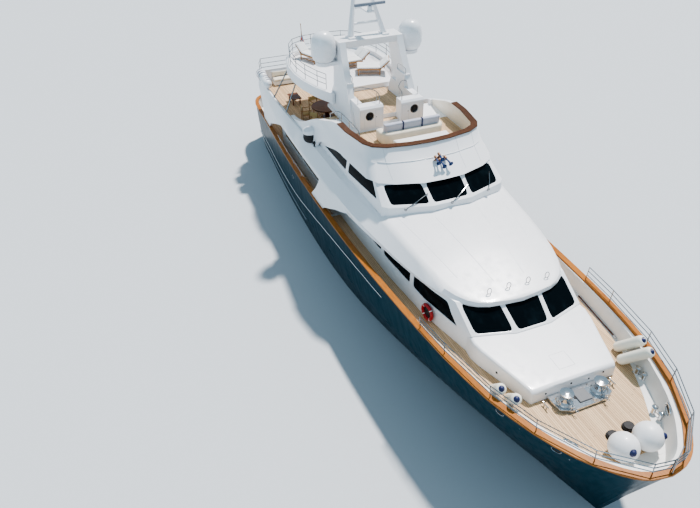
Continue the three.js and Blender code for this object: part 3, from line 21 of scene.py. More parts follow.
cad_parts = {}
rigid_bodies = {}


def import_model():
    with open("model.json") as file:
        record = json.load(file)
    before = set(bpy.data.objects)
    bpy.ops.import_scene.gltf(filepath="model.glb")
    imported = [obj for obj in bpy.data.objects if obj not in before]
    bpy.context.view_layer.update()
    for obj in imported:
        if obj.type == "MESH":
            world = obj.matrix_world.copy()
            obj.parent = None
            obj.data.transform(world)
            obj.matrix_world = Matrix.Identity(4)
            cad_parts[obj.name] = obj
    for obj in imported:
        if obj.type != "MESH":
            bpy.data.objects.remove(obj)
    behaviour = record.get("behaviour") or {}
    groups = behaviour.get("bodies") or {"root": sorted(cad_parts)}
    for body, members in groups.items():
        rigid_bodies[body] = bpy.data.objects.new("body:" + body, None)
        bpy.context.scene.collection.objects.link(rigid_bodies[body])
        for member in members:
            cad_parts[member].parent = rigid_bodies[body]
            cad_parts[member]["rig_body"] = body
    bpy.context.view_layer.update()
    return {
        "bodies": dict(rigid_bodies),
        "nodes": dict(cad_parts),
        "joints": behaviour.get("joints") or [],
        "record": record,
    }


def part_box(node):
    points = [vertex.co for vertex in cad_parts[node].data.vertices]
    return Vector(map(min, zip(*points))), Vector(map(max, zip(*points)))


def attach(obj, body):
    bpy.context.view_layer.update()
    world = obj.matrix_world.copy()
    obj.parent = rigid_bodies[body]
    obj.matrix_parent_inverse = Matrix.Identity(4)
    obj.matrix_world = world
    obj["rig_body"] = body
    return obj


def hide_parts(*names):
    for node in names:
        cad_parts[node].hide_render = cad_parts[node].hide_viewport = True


log = logging.getLogger("yacht")

Point = Sequence[float]
Color = tuple[float, float, float]
Face = tuple[int, ...]
Piece = bpy.types.Object
Pair = tuple[float, float]

YACHT = "yacht"
SIDES = (("starboard", -1.0), ("port", 1.0))
LEAST_RADIUS = 1e-4
WELD = 1e-5
FLAT_WEIGHT = 95
CLOTH_STEPS = 12
DRAPE_STEPS = 30
UP = (0.0, 0.0, 1.0)
DOWN = (0.0, 0.0, -1.0)
AFT = (-1.0, 0.0, 0.0)
FAR = 20.0


class Slot(Enum):
    """The record's material slots."""

    NAVY = "navy_paint"
    WHITE = "white_paint"
    TEAK = "teak"
    VARNISH = "varnished_teak"
    GLASS = "dark_glass"
    STEEL = "stainless"
    BRONZE = "bronze"
    GREY_CLOTH = "cushion_grey"
    CREAM_CLOTH = "cushion_cream"
    FENDER = "fender_cream"
    GELCOAT = "white_gelcoat"
    RED = "ring_red"
    LOCKER = "locker_grey"


# Shaders


class Wire:
    """One value of a shader, which takes part in Python arithmetic."""

    def __init__(self, shader: Shader, socket: bpy.types.NodeSocket) -> None:
        """Keeps the shader and the socket that the value comes from."""
        self.shader = shader
        self.socket = socket

    def _math(self, operation: str, first: Value, second: Value = 0.0) -> Wire:
        """A Math node on two values."""
        return self.shader.node("ShaderNodeMath", {"operation": operation}, {0: first, 1: second})

    def __add__(self, other: Value) -> Wire:
        """The sum of two values."""
        return self._math("ADD", self, other)

    def __sub__(self, other: Value) -> Wire:
        """This value less another."""
        return self._math("SUBTRACT", self, other)

    def __rsub__(self, other: Value) -> Wire:
        """A number less this value."""
        return self._math("SUBTRACT", other, self)

    def __mul__(self, other: Value) -> Wire:
        """The product of two values."""
        return self._math("MULTIPLY", self, other)

    def __truediv__(self, other: Value) -> Wire:
        """This value over another."""
        return self._math("DIVIDE", self, other)

    __radd__ = __add__
    __rmul__ = __mul__

    def __abs__(self) -> Wire:
        """The value without its sign."""
        return self._math("ABSOLUTE", self)

    def floor(self) -> Wire:
        """The whole number at or below the value."""
        return self._math("FLOOR", self)

    def fraction(self) -> Wire:
        """What is left above the whole number."""
        return self._math("FRACT", self)

    def larger(self, other: Value) -> Wire:
        """The larger of two values."""
        return self._math("MAXIMUM", self, other)

    def step(self, low: float, high: float) -> Wire:
        """A smooth step from 0 at one value to 1 at another."""
        settings = {"interpolation_type": "SMOOTHSTEP"}
        return self.shader.node("ShaderNodeMapRange", settings, {0: self, 1: low, 2: high})


Value = Wire | float


class Shader:
    """A material in the making, with one way to add any node."""

    def __init__(self, name: str) -> None:
        """Starts a material that has only its main shader and its output.

        Args:
            name: The material's name.
        """
        self.material = bpy.data.materials.new(name)
        self.material.use_nodes = True
        self.tree = self.material.node_tree
        self.main = next(node for node in self.tree.nodes if node.type == "BSDF_PRINCIPLED")

    def node(
        self,
        kind: str,
        settings: dict[str, object] | None = None,
        inputs: dict[int | str, object] | None = None,
        output: int | str = 0,
    ) -> Wire:
        """Adds a node.

        Args:
            kind: Blender's name for the node's type.
            settings: The node's own settings, which are set first.
            inputs: Values or links for its sockets.
            output: The socket to return.

        Returns:
            The value of the output.
        """
        made = self.tree.nodes.new(kind)
        for name, value in (settings or {}).items():
            setattr(made, name, value)
        for key, value in (inputs or {}).items():
            if isinstance(value, Wire):
                self.tree.links.new(value.socket, made.inputs[key])
            else:
                made.inputs[key].default_value = value
        return Wire(self, made.outputs[output])

    def place(self, stretch: Point = (1.0, 1.0, 1.0)) -> Wire:
        """The point on the object, drawn out or in along each axis."""
        where = self.node("ShaderNodeTexCoord", output="Object")
        return self.node("ShaderNodeMapping", None, {"Vector": where, "Scale": tuple(stretch)})

    def axes(self, vector: Wire) -> tuple[Wire, Wire, Wire]:
        """The three parts of a vector."""
        made = self.node("ShaderNodeSeparateXYZ", None, {0: vector}).socket.node
        return tuple(Wire(self, socket) for socket in made.outputs)

    def noise(self, scale: float, detail: float = 2.0, stretch: Point = (1.0, 1.0, 1.0)) -> Wire:
        """Soft noise over the object, from about 0 to 1.

        Args:
            scale: How many features there are to the metre.
            detail: How many finer layers it has.
            stretch: The scale along each axis, on top of that.

        Returns:
            The noise.
        """
        inputs = {"Vector": self.place(stretch), "Scale": scale, "Detail": detail}
        return self.node("ShaderNodeTexNoise", None, inputs)

    def chance(self, value: Wire) -> Wire:
        """A random number from 0 to 1 for each different value."""
        return self.node("ShaderNodeTexWhiteNoise", {"noise_dimensions": "1D"}, {"W": value}, "Value")

    def blend(self, share: Value, first: object, second: object) -> Wire:
        """A colour between two others.

        Args:
            share: How much of the second there is.
            first: The first colour.
            second: The second colour.

        Returns:
            The mixed colour.
        """
        paints = [(*paint, 1.0) if isinstance(paint, tuple) else paint for paint in (first, second)]
        inputs = {0: share, 6: paints[0], 7: paints[1]}
        return self.node("ShaderNodeMix", {"data_type": "RGBA"}, inputs, 2)

    def relief(self, height: Wire, depth: float, strength: float = 1.0) -> Wire:
        """A bumped normal from a height.

        Args:
            height: The height, from 0 to 1.
            depth: What a height of 1 is in metres.
            strength: How much of the bump shows.

        Returns:
            The normal.
        """
        inputs = {"Height": height, "Distance": depth, "Strength": strength}
        return self.node("ShaderNodeBump", None, inputs)

    def surface(self, **sockets: object) -> bpy.types.Material:
        """Sets the main shader's sockets, each named with an underscore for a space.

        Args:
            sockets: A number, a colour or a value for each socket.

        Returns:
            The finished material.
        """
        for key, value in sockets.items():
            socket = self.main.inputs[key.replace("_", " ")]
            if isinstance(value, Wire):
                self.tree.links.new(value.socket, socket)
            else:
                socket.default_value = (*value, 1.0) if isinstance(value, tuple) else value
        return self.material


@dataclass(frozen=True)
class Paintwork:
    """Sprayed paint with a faint mottle, run-off marks and a slight orange peel."""

    name: str
    color: Color
    shade: Color
    roughness: float = 0.25
    coat: float = 0.4
    mottle: float = 0.5
    peel: float = 0.25
    specular: float = 0.5

    def material(self) -> bpy.types.Material:
        """The paint's material."""
        shader = Shader(self.name)
        clouds = shader.noise(0.5, 3.0)
        streaks = shader.noise(4.0, 3.0, (1.0, 1.0, 0.12))
        share = (clouds * 0.6 + streaks * 0.4).step(0.42, 0.75) * self.mottle
        skin = shader.noise(60.0, 2.0)
        return shader.surface(
            Base_Color=shader.blend(share, self.color, self.shade),
            Roughness=streaks.step(0.3, 0.8) * 0.12 + self.roughness,
            Coat_Weight=self.coat,
            Coat_Roughness=0.06,
            Specular_IOR_Level=self.specular,
            Normal=shader.relief(skin, 0.0006, self.peel),
        )


@dataclass(frozen=True)
class Planking:
    """Laid teak planks, fore and aft, with dark caulking between them and staggered butts."""

    name: str
    plank: float = 0.07
    seam: float = 0.007
    length: float = 3.2
    light: Color = (0.7, 0.5, 0.3)
    dark: Color = (0.5, 0.33, 0.185)
    caulk: Color = (0.06, 0.05, 0.045)

    def material(self) -> bpy.types.Material:
        """The planking's material."""
        shader = Shader(self.name)
        down, across, _ = shader.axes(shader.place())
        row = (across / self.plank).floor()
        luck = shader.chance(row)
        edge = abs((across / self.plank).fraction() - 0.5)
        half = 0.5 - self.seam / self.plank / 2
        butt = abs((down / self.length + luck * 7.0).fraction() - 0.5)
        butt_half = 0.5 - self.seam / self.length / 2
        seam = edge.step(half - 0.02, half + 0.01).larger(butt.step(butt_half - 0.0006, butt_half))
        grain = shader.noise(3.5, 6.0, (1.0, 14.0, 14.0))
        weather = shader.noise(0.6, 3.0)
        share = (luck * 0.45 + grain * 0.35 + weather * 0.4).step(0.3, 0.95)
        wood = shader.blend(share, self.light, self.dark)
        height = (1.0 - seam) * 0.8 + grain * 0.2
        return shader.surface(
            Base_Color=shader.blend(seam, wood, self.caulk),
            Roughness=grain * 0.2 + 0.55,
            Normal=shader.relief(height, 0.002, 0.7),
        )


@dataclass(frozen=True)
class Brightwork:
    """Varnished wood: dark grain along the piece under a deep gloss."""

    name: str
    light: Color
    dark: Color
    stretch: Point = (1.0, 7.0, 7.0)
    roughness: float = 0.3
    coat: float = 0.35

    def material(self) -> bpy.types.Material:
        """The varnish's material."""
        shader = Shader(self.name)
        grain = shader.noise(4.0, 8.0, self.stretch)
        fine = shader.noise(30.0, 4.0, self.stretch)
        boards = shader.noise(0.5, 1.0)
        share = (grain * 0.55 + fine * 0.25 + boards * 0.3).step(0.35, 0.8)
        return shader.surface(
            Base_Color=shader.blend(share, self.light, self.dark),
            Roughness=fine * 0.1 + self.roughness,
            Coat_Weight=self.coat,
            Coat_Roughness=0.08,
            Specular_IOR_Level=0.15,
            Normal=shader.relief(fine, 0.0008, 0.4),
        )


@dataclass(frozen=True)
class Glazing:
    """Tinted toughened glass that shows almost black from outside."""

    name: str
    color: Color = (0.003, 0.006, 0.008)
    roughness: float = 0.1

    def material(self) -> bpy.types.Material:
        """The glass's material."""
        shader = Shader(self.name)
        smears = shader.noise(2.5, 4.0, (1.0, 1.0, 0.4))
        tint = tuple(part * 2.2 for part in self.color)
        return shader.surface(
            Base_Color=shader.blend(smears.step(0.45, 0.8), self.color, tint),
            Roughness=smears.step(0.4, 0.9) * 0.08 + self.roughness,
            IOR=1.33,
            Specular_IOR_Level=0.06,
        )


@dataclass(frozen=True)
class Metal:
    """Polished or cast metal with faint wear."""

    name: str
    color: Color
    roughness: float = 0.16
    wear: float = 0.14
    grain: float = 25.0

    def material(self) -> bpy.types.Material:
        """The metal's material."""
        shader = Shader(self.name)
        marks = shader.noise(self.grain, 4.0)
        duller = tuple(part * 0.72 for part in self.color)
        return shader.surface(
            Base_Color=shader.blend(marks.step(0.5, 0.85), self.color, duller),
            Metallic=1.0,
            Roughness=marks.step(0.35, 0.8) * self.wear + self.roughness,
            Normal=shader.relief(marks, 0.0004, 0.3),
        )


@dataclass(frozen=True)
class Upholstery:
    """Woven outdoor cloth over a cushion."""

    name: str
    color: Color
    shade: Color
    thread: float = 380.0

    def material(self) -> bpy.types.Material:
        """The cloth's material."""
        shader = Shader(self.name)
        x, y, z = shader.axes(shader.place())
        warp = abs(((x + z * 0.7) * self.thread).fraction() - 0.5)
        weft = abs(((y + z * 0.7) * self.thread).fraction() - 0.5)
        weave = warp * weft * 4.0
        wear = shader.noise(3.0, 4.0)
        share = (wear * 0.7 + weave * 0.3).step(0.3, 0.75)
        return shader.surface(
            Base_Color=shader.blend(share, self.color, self.shade),
            Roughness=0.85,
            Sheen_Weight=0.25,
            Normal=shader.relief(weave + wear * 0.6, 0.0012, 0.6),
        )


@dataclass(frozen=True)
class Moulding:
    """Moulded plastic, rubber or vinyl with scuffs."""

    name: str
    color: Color
    scuff: Color
    roughness: float = 0.4
    coat: float = 0.1

    def material(self) -> bpy.types.Material:
        """The moulding's material."""
        shader = Shader(self.name)
        scuffs = shader.noise(5.0, 5.0)
        grain = shader.noise(140.0, 2.0)
        share = scuffs.step(0.5, 0.85) * 0.6
        return shader.surface(
            Base_Color=shader.blend(share, self.color, self.scuff),
            Roughness=scuffs * 0.15 + self.roughness,
            Coat_Weight=self.coat,
            Normal=shader.relief(grain, 0.0005, 0.4),
        )


@dataclass(frozen=True)
class Bunting:
    """Flag cloth in three level bands that turn with the cloth's own height."""

    name: str
    bands: tuple[Color, Color, Color]

    def material(self) -> bpy.types.Material:
        """The flag cloth's material."""
        shader = Shader(self.name)
        across = shader.node("ShaderNodeAttribute", {"attribute_name": "hoist"}, output="Fac")
        first = across.step(0.325, 0.34)
        second = across.step(0.66, 0.675)
        upper = shader.blend(first, self.bands[0], self.bands[1])
        threads = shader.noise(500.0, 2.0)
        return shader.surface(
            Base_Color=shader.blend(second, upper, self.bands[2]),
            Roughness=0.8,
            Normal=shader.relief(threads, 0.0006, 0.5),
        )


class Paint:
    """The finishes of the yacht."""

    WHITE = Paintwork("white_topcoat", (0.88, 0.875, 0.88), (0.83, 0.83, 0.84), 0.3, 0.2, 0.3)
    NAVY = Paintwork(
        "navy_topcoat", (0.003, 0.03, 0.045), (0.0025, 0.026, 0.039), 0.3, 0.02,
        mottle=0.15, peel=0.02, specular=0.1,
    )
    BOTTOM = Paintwork("bottom_paint", (0.03, 0.035, 0.045), (0.02, 0.022, 0.028), 0.7, 0.0)
    DECK_WHITE = Paintwork("deck_paint", (0.78, 0.78, 0.76), (0.68, 0.67, 0.64), 0.5, 0.05, 0.6)
    LOCKER = Paintwork("locker_gelcoat", (0.6, 0.62, 0.64), (0.5, 0.52, 0.54), 0.35, 0.2)
    TEAK = Planking("teak_planking")
    VARNISH = Brightwork("varnished_rail", (0.46, 0.18, 0.036), (0.27, 0.09, 0.018), coat=0.03)
    # A darker copy of the varnished teak, with painted shade in its colour, for the sundeck's cap rail.
    SHADED_VARNISH = Brightwork("varnished_coaming_painted_shade", (0.11, 0.042, 0.014), (0.045, 0.016, 0.006), coat=0.06)
    TABLE = Brightwork("table_wood", (0.16, 0.055, 0.022), (0.07, 0.022, 0.01))
    OILED = Brightwork("oiled_teak", (0.5, 0.27, 0.11), (0.3, 0.14, 0.055), (3.0, 3.0, 9.0), 0.45)
    GLASS = Glazing("tinted_glass")
    # Bronze-tinted glass whose brown is raised to paint in the warm reflection of the teak decks: partly a
    # real tint, partly painted reflection.
    WARM_REFLECTION_GLASS = Glazing("bronzed_glass_painted_reflection", (0.17, 0.1, 0.052), 0.25)
    HORN = Paintwork("horn_lacquer", (0.01, 0.04, 0.16), (0.008, 0.03, 0.12), 0.2, 0.6)
    HORN_BASE = Metal("bronzed_base", (0.3, 0.18, 0.12), 0.3)
    TEAK_CREAM = Paintwork("cream_topcoat", (0.84, 0.78, 0.66), (0.78, 0.71, 0.58), 0.4, 0.1)
    STEEL = Metal("polished_steel", (0.34, 0.35, 0.36), 0.16)
    BRIGHT_STEEL = Metal("mirror_steel", (0.66, 0.67, 0.68), 0.08, 0.1)
    BRONZE = Metal("cast_bronze", (0.6, 0.4, 0.19), 0.3, 0.25)
    GREY_CLOTH = Upholstery("grey_canvas", (0.52, 0.53, 0.6), (0.44, 0.45, 0.52))
    CREAM_CLOTH = Upholstery("cream_canvas", (0.82, 0.75, 0.62), (0.74, 0.66, 0.53))
    WHITE_CLOTH = Upholstery("white_canvas", (0.85, 0.84, 0.82), (0.78, 0.77, 0.75))
    OCHRE_CLOTH = Upholstery("ochre_canvas", (0.62, 0.45, 0.2), (0.52, 0.36, 0.15))
    FENDER = Moulding("fender_vinyl", (0.84, 0.81, 0.7), (0.72, 0.67, 0.55))
    BALL = Moulding("ball_vinyl", (0.84, 0.84, 0.84), (0.74, 0.74, 0.72), 0.35)
    NAVY_VINYL = Moulding("navy_vinyl", (0.012, 0.02, 0.09), (0.03, 0.04, 0.12))
    RUBBER = Moulding("black_rubber", (0.015, 0.015, 0.016), (0.04, 0.04, 0.04), 0.6, 0.0)
    GELCOAT = Moulding("white_gelcoat", (0.86, 0.87, 0.88), (0.8, 0.8, 0.8), 0.2, 0.5)
    RED = Moulding("red_cover", (0.42, 0.012, 0.014), (0.28, 0.01, 0.012), 0.55)
    HATCH = Moulding("hatch_plate", (0.17, 0.175, 0.18), (0.12, 0.125, 0.13), 0.6, 0.0)
    # A dark blue-grey for the radar scanner: painted shade.
    SHADED_SCANNER = Moulding("scanner_painted_shade", (0.2, 0.23, 0.28), (0.15, 0.17, 0.2), 0.4)
    ENSIGN = Bunting("ensign_bunting", ((0.8, 0.8, 0.8), (0.02, 0.06, 0.4), (0.55, 0.02, 0.03)))
    ROPE = Upholstery("white_rope", (0.75, 0.73, 0.68), (0.6, 0.58, 0.52), 120.0)


Finish = Paintwork | Planking | Brightwork | Glazing | Metal | Upholstery | Moulding | Bunting
Finishes = Finish | Sequence[Finish]
Choice = Callable[[Vector, Vector], int]


# Shapes


@dataclass
class Shape:
    """Points and faces gathered for one piece. Each face has a number, for its finish."""

    points: list[Point] = field(default_factory=list)
    faces: list[Face] = field(default_factory=list)
    tags: list[int] = field(default_factory=list)

    def add(self, points: Iterable[Point], faces: Iterable[Face], tag: int = 0) -> Shape:
        """Adds points, and faces that count from the first of them.

        Args:
            points: The new points.
            faces: The new faces.
            tag: The number of the faces' finish.

        Returns:
            The shape itself.
        """
        first = len(self.points)
        self.points.extend(tuple(point) for point in points)
        new = [tuple(first + corner for corner in face) for face in faces]
        self.faces.extend(new)
        self.tags.extend([tag] * len(new))
        return self

    def rings(self, rings: Sequence[Sequence[Point]], is_loop: bool = False, tag: int = 0) -> Shape:
        """Adds a skin through rings of equal size, with flat ends unless it closes on itself.

        Args:
            rings: The rings, each a row of points.
            is_loop: Whether the last ring joins the first.
            tag: The number of the faces' finish.

        Returns:
            The shape itself.
        """
        size = len(rings[0])
        points = [point for ring in rings for point in ring]
        faces: list[Face] = []
        spans = len(rings) if is_loop else len(rings) - 1
        for i in range(spans):
            j = (i + 1) % len(rings)
            for k in range(size):
                m = (k + 1) % size
                faces.append((i * size + k, i * size + m, j * size + m, j * size + k))
        if not is_loop:
            faces.append(tuple(reversed(range(size))))
            faces.append(tuple(range(len(points) - size, len(points))))
        return self.add(points, faces, tag)

    def tube(
        self, path: Sequence[Point], radius: float, sides: int = 8, is_loop: bool = False, tag: int = 0
    ) -> Shape:
        """Adds a round bar along a path.

        Args:
            path: The points that the bar follows.
            radius: Its radius.
            sides: How many sides it has.
            is_loop: Whether the path closes on itself.
            tag: The number of the faces' finish.

        Returns:
            The shape itself.
        """
        line = [Vector(point) for point in path]
        count = len(line)
        tangents = []
        for i in range(count):
            before = line[i - 1] if i or is_loop else line[0]
            after = line[(i + 1) % count] if i < count - 1 or is_loop else line[-1]
            tangents.append((after - before).normalized())
        normal = tangents[0].orthogonal().normalized()
        rings = []
        for point, tangent in zip(line, tangents):
            normal = (normal - tangent * normal.dot(tangent)).normalized()
            other = tangent.cross(normal)
            steps = [(normal * math.cos(t) + other * math.sin(t)) * radius for t in turns_of(sides)]
            rings.append([point + step for step in steps])
        return self.rings(rings, is_loop, tag)

    def turned(
        self, profile: Sequence[Pair], base: Point, axis: Point = (0, 0, 1), sides: int = 24, tag: int = 0
    ) -> Shape:
        """Adds a body of revolution.

        Args:
            profile: Pairs of a radius and a height along the axis.
            base: The point that the heights start from.
            axis: The axis's direction.
            sides: How many sides it has.
            tag: The number of the faces' finish.

        Returns:
            The shape itself.
        """
        way = Vector(axis).normalized()
        across = way.orthogonal().normalized()
        other = way.cross(across)
        rings = []
        for radius, height in profile:
            middle = Vector(base) + way * height
            reach = max(radius, LEAST_RADIUS)
            steps = [(across * math.cos(t) + other * math.sin(t)) * reach for t in turns_of(sides)]
            rings.append([middle + step for step in steps])
        return self.rings(rings, tag=tag)

    def box(self, low: Point, high: Point, tag: int = 0) -> Shape:
        """Adds a box between two corners."""
        (x0, y0, z0), (x1, y1, z1) = low, high
        ring = [(x0, y0), (x1, y0), (x1, y1), (x0, y1)]
        return self.rings([[(x, y, z) for x, y in ring] for z in (z0, z1)], tag=tag)

    def plate(self, outline: Sequence[Pair], low: float, high: float, tag: int = 0) -> Shape:
        """Adds a flat plate from a plan outline and two heights."""
        return self.rings([[(x, y, z) for x, y in outline] for z in (low, high)], tag=tag)

    def ball(self, centre: Point, radius: float, tag: int = 0, sides: int = 24) -> Shape:
        """Adds a ball."""
        steps = sides // 2
        turns = [math.pi * k / steps for k in range(steps + 1)]
        profile = [(radius * math.sin(t), -radius * math.cos(t)) for t in turns]
        return self.turned(profile, centre, sides=sides, tag=tag)

    def moved(self, matrix: Matrix) -> Shape:
        """A copy of the shape, moved and turned by a matrix."""
        points = [tuple(matrix @ Vector(point)) for point in self.points]
        return Shape(points, list(self.faces), list(self.tags))

    def joined(self, other: Shape) -> Shape:
        """Adds another shape to this one."""
        first = len(self.points)
        self.points.extend(other.points)
        self.faces.extend(tuple(first + corner for corner in face) for face in other.faces)
        self.tags.extend(other.tags)
        return self

    def piece(self, name: str, angle: float = 35.0) -> Piece:
        """Makes the shape a Blender object, smooth except at edges sharper than an angle.

        Args:
            name: The object's name.
            angle: The angle in degrees.

        Returns:
            The object.
        """
        mesh = bpy.data.meshes.new(name)
        mesh.from_pydata([tuple(point) for point in self.points], [], self.faces)
        mesh.polygons.foreach_set("material_index", self.tags)
        work = bmesh.new()
        work.from_mesh(mesh)
        bmesh.ops.remove_doubles(work, verts=work.verts, dist=WELD)
        bmesh.ops.recalc_face_normals(work, faces=work.faces)
        work.to_mesh(mesh)
        work.free()
        mesh.shade_smooth()
        mesh.set_sharp_from_angle(angle=math.radians(angle))
        made = bpy.data.objects.new(name, mesh)
        bpy.context.scene.collection.objects.link(made)
        return made


def turns_of(count: int) -> list[float]:
    """The angles of a full turn's equal steps."""
    return [2 * math.pi * k / count for k in range(count)]


def about(pivot: Point, degrees: float) -> Matrix:
    """A turn about the athwart axis through a point."""
    turn = Matrix.Rotation(math.radians(degrees), 4, "Y")
    return Matrix.Translation(pivot) @ turn @ Matrix.Translation(-Vector(pivot))


def arc(
    centre: Point, radius: float, start: float, end: float, first: Point, second: Point, count: int = 10
) -> list[Vector]:
    """Points on an arc.

    Args:
        centre: Its centre.
        radius: Its radius.
        start: The first angle in degrees.
        end: The last angle in degrees.
        first: The direction of angle 0.
        second: The direction of angle 90.
        count: How many steps it has.

    Returns:
        The points.
    """
    middle, along, aside = Vector(centre), Vector(first), Vector(second)
    turns = [math.radians(start + (end - start) * k / count) for k in range(count + 1)]
    return [middle + along * radius * math.cos(t) + aside * radius * math.sin(t) for t in turns]


def smooth_line(points: Sequence[Point], steps: int = 6) -> list[Vector]:
    """A smooth curve through points.

    Args:
        points: The points, in order.
        steps: How many steps there are between two of them.

    Returns:
        The curve's points.
    """
    row = [Vector(point) for point in points]
    row = [row[0] * 2 - row[1], *row, row[-1] * 2 - row[-2]]
    line = []
    for i in range(1, len(row) - 2):
        a, b, c, d = row[i - 1 : i + 3]
        for k in range(steps):
            t = k / steps
            bend = (2 * a - 5 * b + 4 * c - d) * t**2 + (3 * b - a - 3 * c + d) * t**3
            line.append(0.5 * ((2 * b) + (c - a) * t + bend))
    return [*line, row[-2]]


def baked(piece: Piece) -> Piece:
    """Turns an object's modifiers into its mesh."""
    graph = bpy.context.evaluated_depsgraph_get()
    mesh = bpy.data.meshes.new_from_object(piece.evaluated_get(graph))
    piece.modifiers.clear()
    piece.data = mesh
    return piece


def softened(piece: Piece, width: float, segments: int = 3, angle: float = 35.0) -> Piece:
    """Rounds an object's sharp edges.

    Args:
        piece: The object.
        width: The rounding's width.
        segments: How many faces it has.
        angle: The least angle of a sharp edge, in degrees.

    Returns:
        The object.
    """
    bevel = piece.modifiers.new("soften", "BEVEL")
    bevel.width = width
    bevel.segments = segments
    bevel.limit_method = "ANGLE"
    bevel.angle_limit = math.radians(angle)
    bevel.harden_normals = False
    baked(piece)
    piece.data.shade_smooth()
    piece.data.set_sharp_from_angle(angle=math.radians(angle + 5))
    flats = piece.modifiers.new("flats", "WEIGHTED_NORMAL")
    flats.keep_sharp = True
    flats.weight = FLAT_WEIGHT
    return baked(piece)


def stuffed(piece: Piece, voxel: float, limit: float, floor: float | None = None) -> Piece:
    """Swells a closed shape as cloth over a filling, by simulation.

    Args:
        piece: The shape.
        voxel: The size of the mesh that is simulated.
        limit: How far a point may move.
        floor: The height of what it lies on, if it lies flat.

    Returns:
        The swollen cushion.
    """
    remesh = piece.modifiers.new("remesh", "REMESH")
    remesh.mode = "VOXEL"
    remesh.voxel_size = voxel
    baked(piece)
    count = len(piece.data.vertices)
    rest = np.empty(count * 3)
    piece.data.vertices.foreach_get("co", rest)
    rest = rest.reshape(-1, 3)
    cloth = piece.modifiers.new("cloth", "CLOTH")
    cloth.settings.use_pressure = True
    cloth.settings.uniform_pressure_force = 4.0
    cloth.settings.effector_weights.gravity = 0.0
    cloth.settings.quality = 4
    scene = bpy.context.scene
    for frame in range(1, CLOTH_STEPS + 1):
        scene.frame_set(frame)
    baked(piece)
    scene.frame_set(1)
    swollen = np.empty(count * 3)
    piece.data.vertices.foreach_get("co", swollen)
    swollen = swollen.reshape(-1, 3)
    shift = swollen - rest
    length = np.linalg.norm(shift, axis=1, keepdims=True)
    shift *= np.minimum(1.0, limit / np.maximum(length, 1e-9))
    settled = rest + shift
    if floor is not None:
        settled[:, 2] = np.maximum(settled[:, 2], floor)
    piece.data.vertices.foreach_set("co", settled.ravel())
    piece.data.update()
    piece.data.shade_smooth()
    return piece


def sewn(piece: Piece, axis: int, places: Sequence[float], width: float, depth: float) -> Piece:
    """Presses sewn channels into the upper side of a cushion.

    Args:
        piece: The cushion.
        axis: The axis that the channels are spaced along.
        places: Where they are on it.
        width: Half the width of a channel.
        depth: How deep it is.

    Returns:
        The cushion.
    """
    for vertex in piece.data.vertices:
        near = min(abs(vertex.co[axis] - place) for place in places) / width
        is_upper = vertex.normal.z > 0.2
        if near < 1.0 and is_upper:
            vertex.co.z -= depth * (1.0 - near * near) ** 2
    piece.data.update()
    return piece


def piped(piece: Piece, paths: Sequence[Sequence[Point]], radius: float, name: str) -> Piece:
    """Lays piping on a cushion, along paths that are drawn onto its surface.

    Args:
        piece: The cushion.
        paths: Closed paths near the surface.
        radius: The piping's radius.
        name: The piping's name.

    Returns:
        The piping.
    """
    shape = Shape()
    for path in paths:
        found = [piece.closest_point_on_mesh(Vector(point)) for point in path]
        shape.tube([hit[1] for hit in found], radius, 6, True)
    return shape.piece(name)


def box_loop(low: Point, high: Point, height: float, steps: int = 10) -> list[Vector]:
    """A level loop around a box at a height."""
    (x0, y0, _), (x1, y1, _) = low, high
    corners = [Vector((x, y, height)) for x, y in ((x0, y0), (x1, y0), (x1, y1), (x0, y1))]
    return [corners[k].lerp(corners[(k + 1) % 4], n / steps) for k in range(4) for n in range(steps)]


# The yard


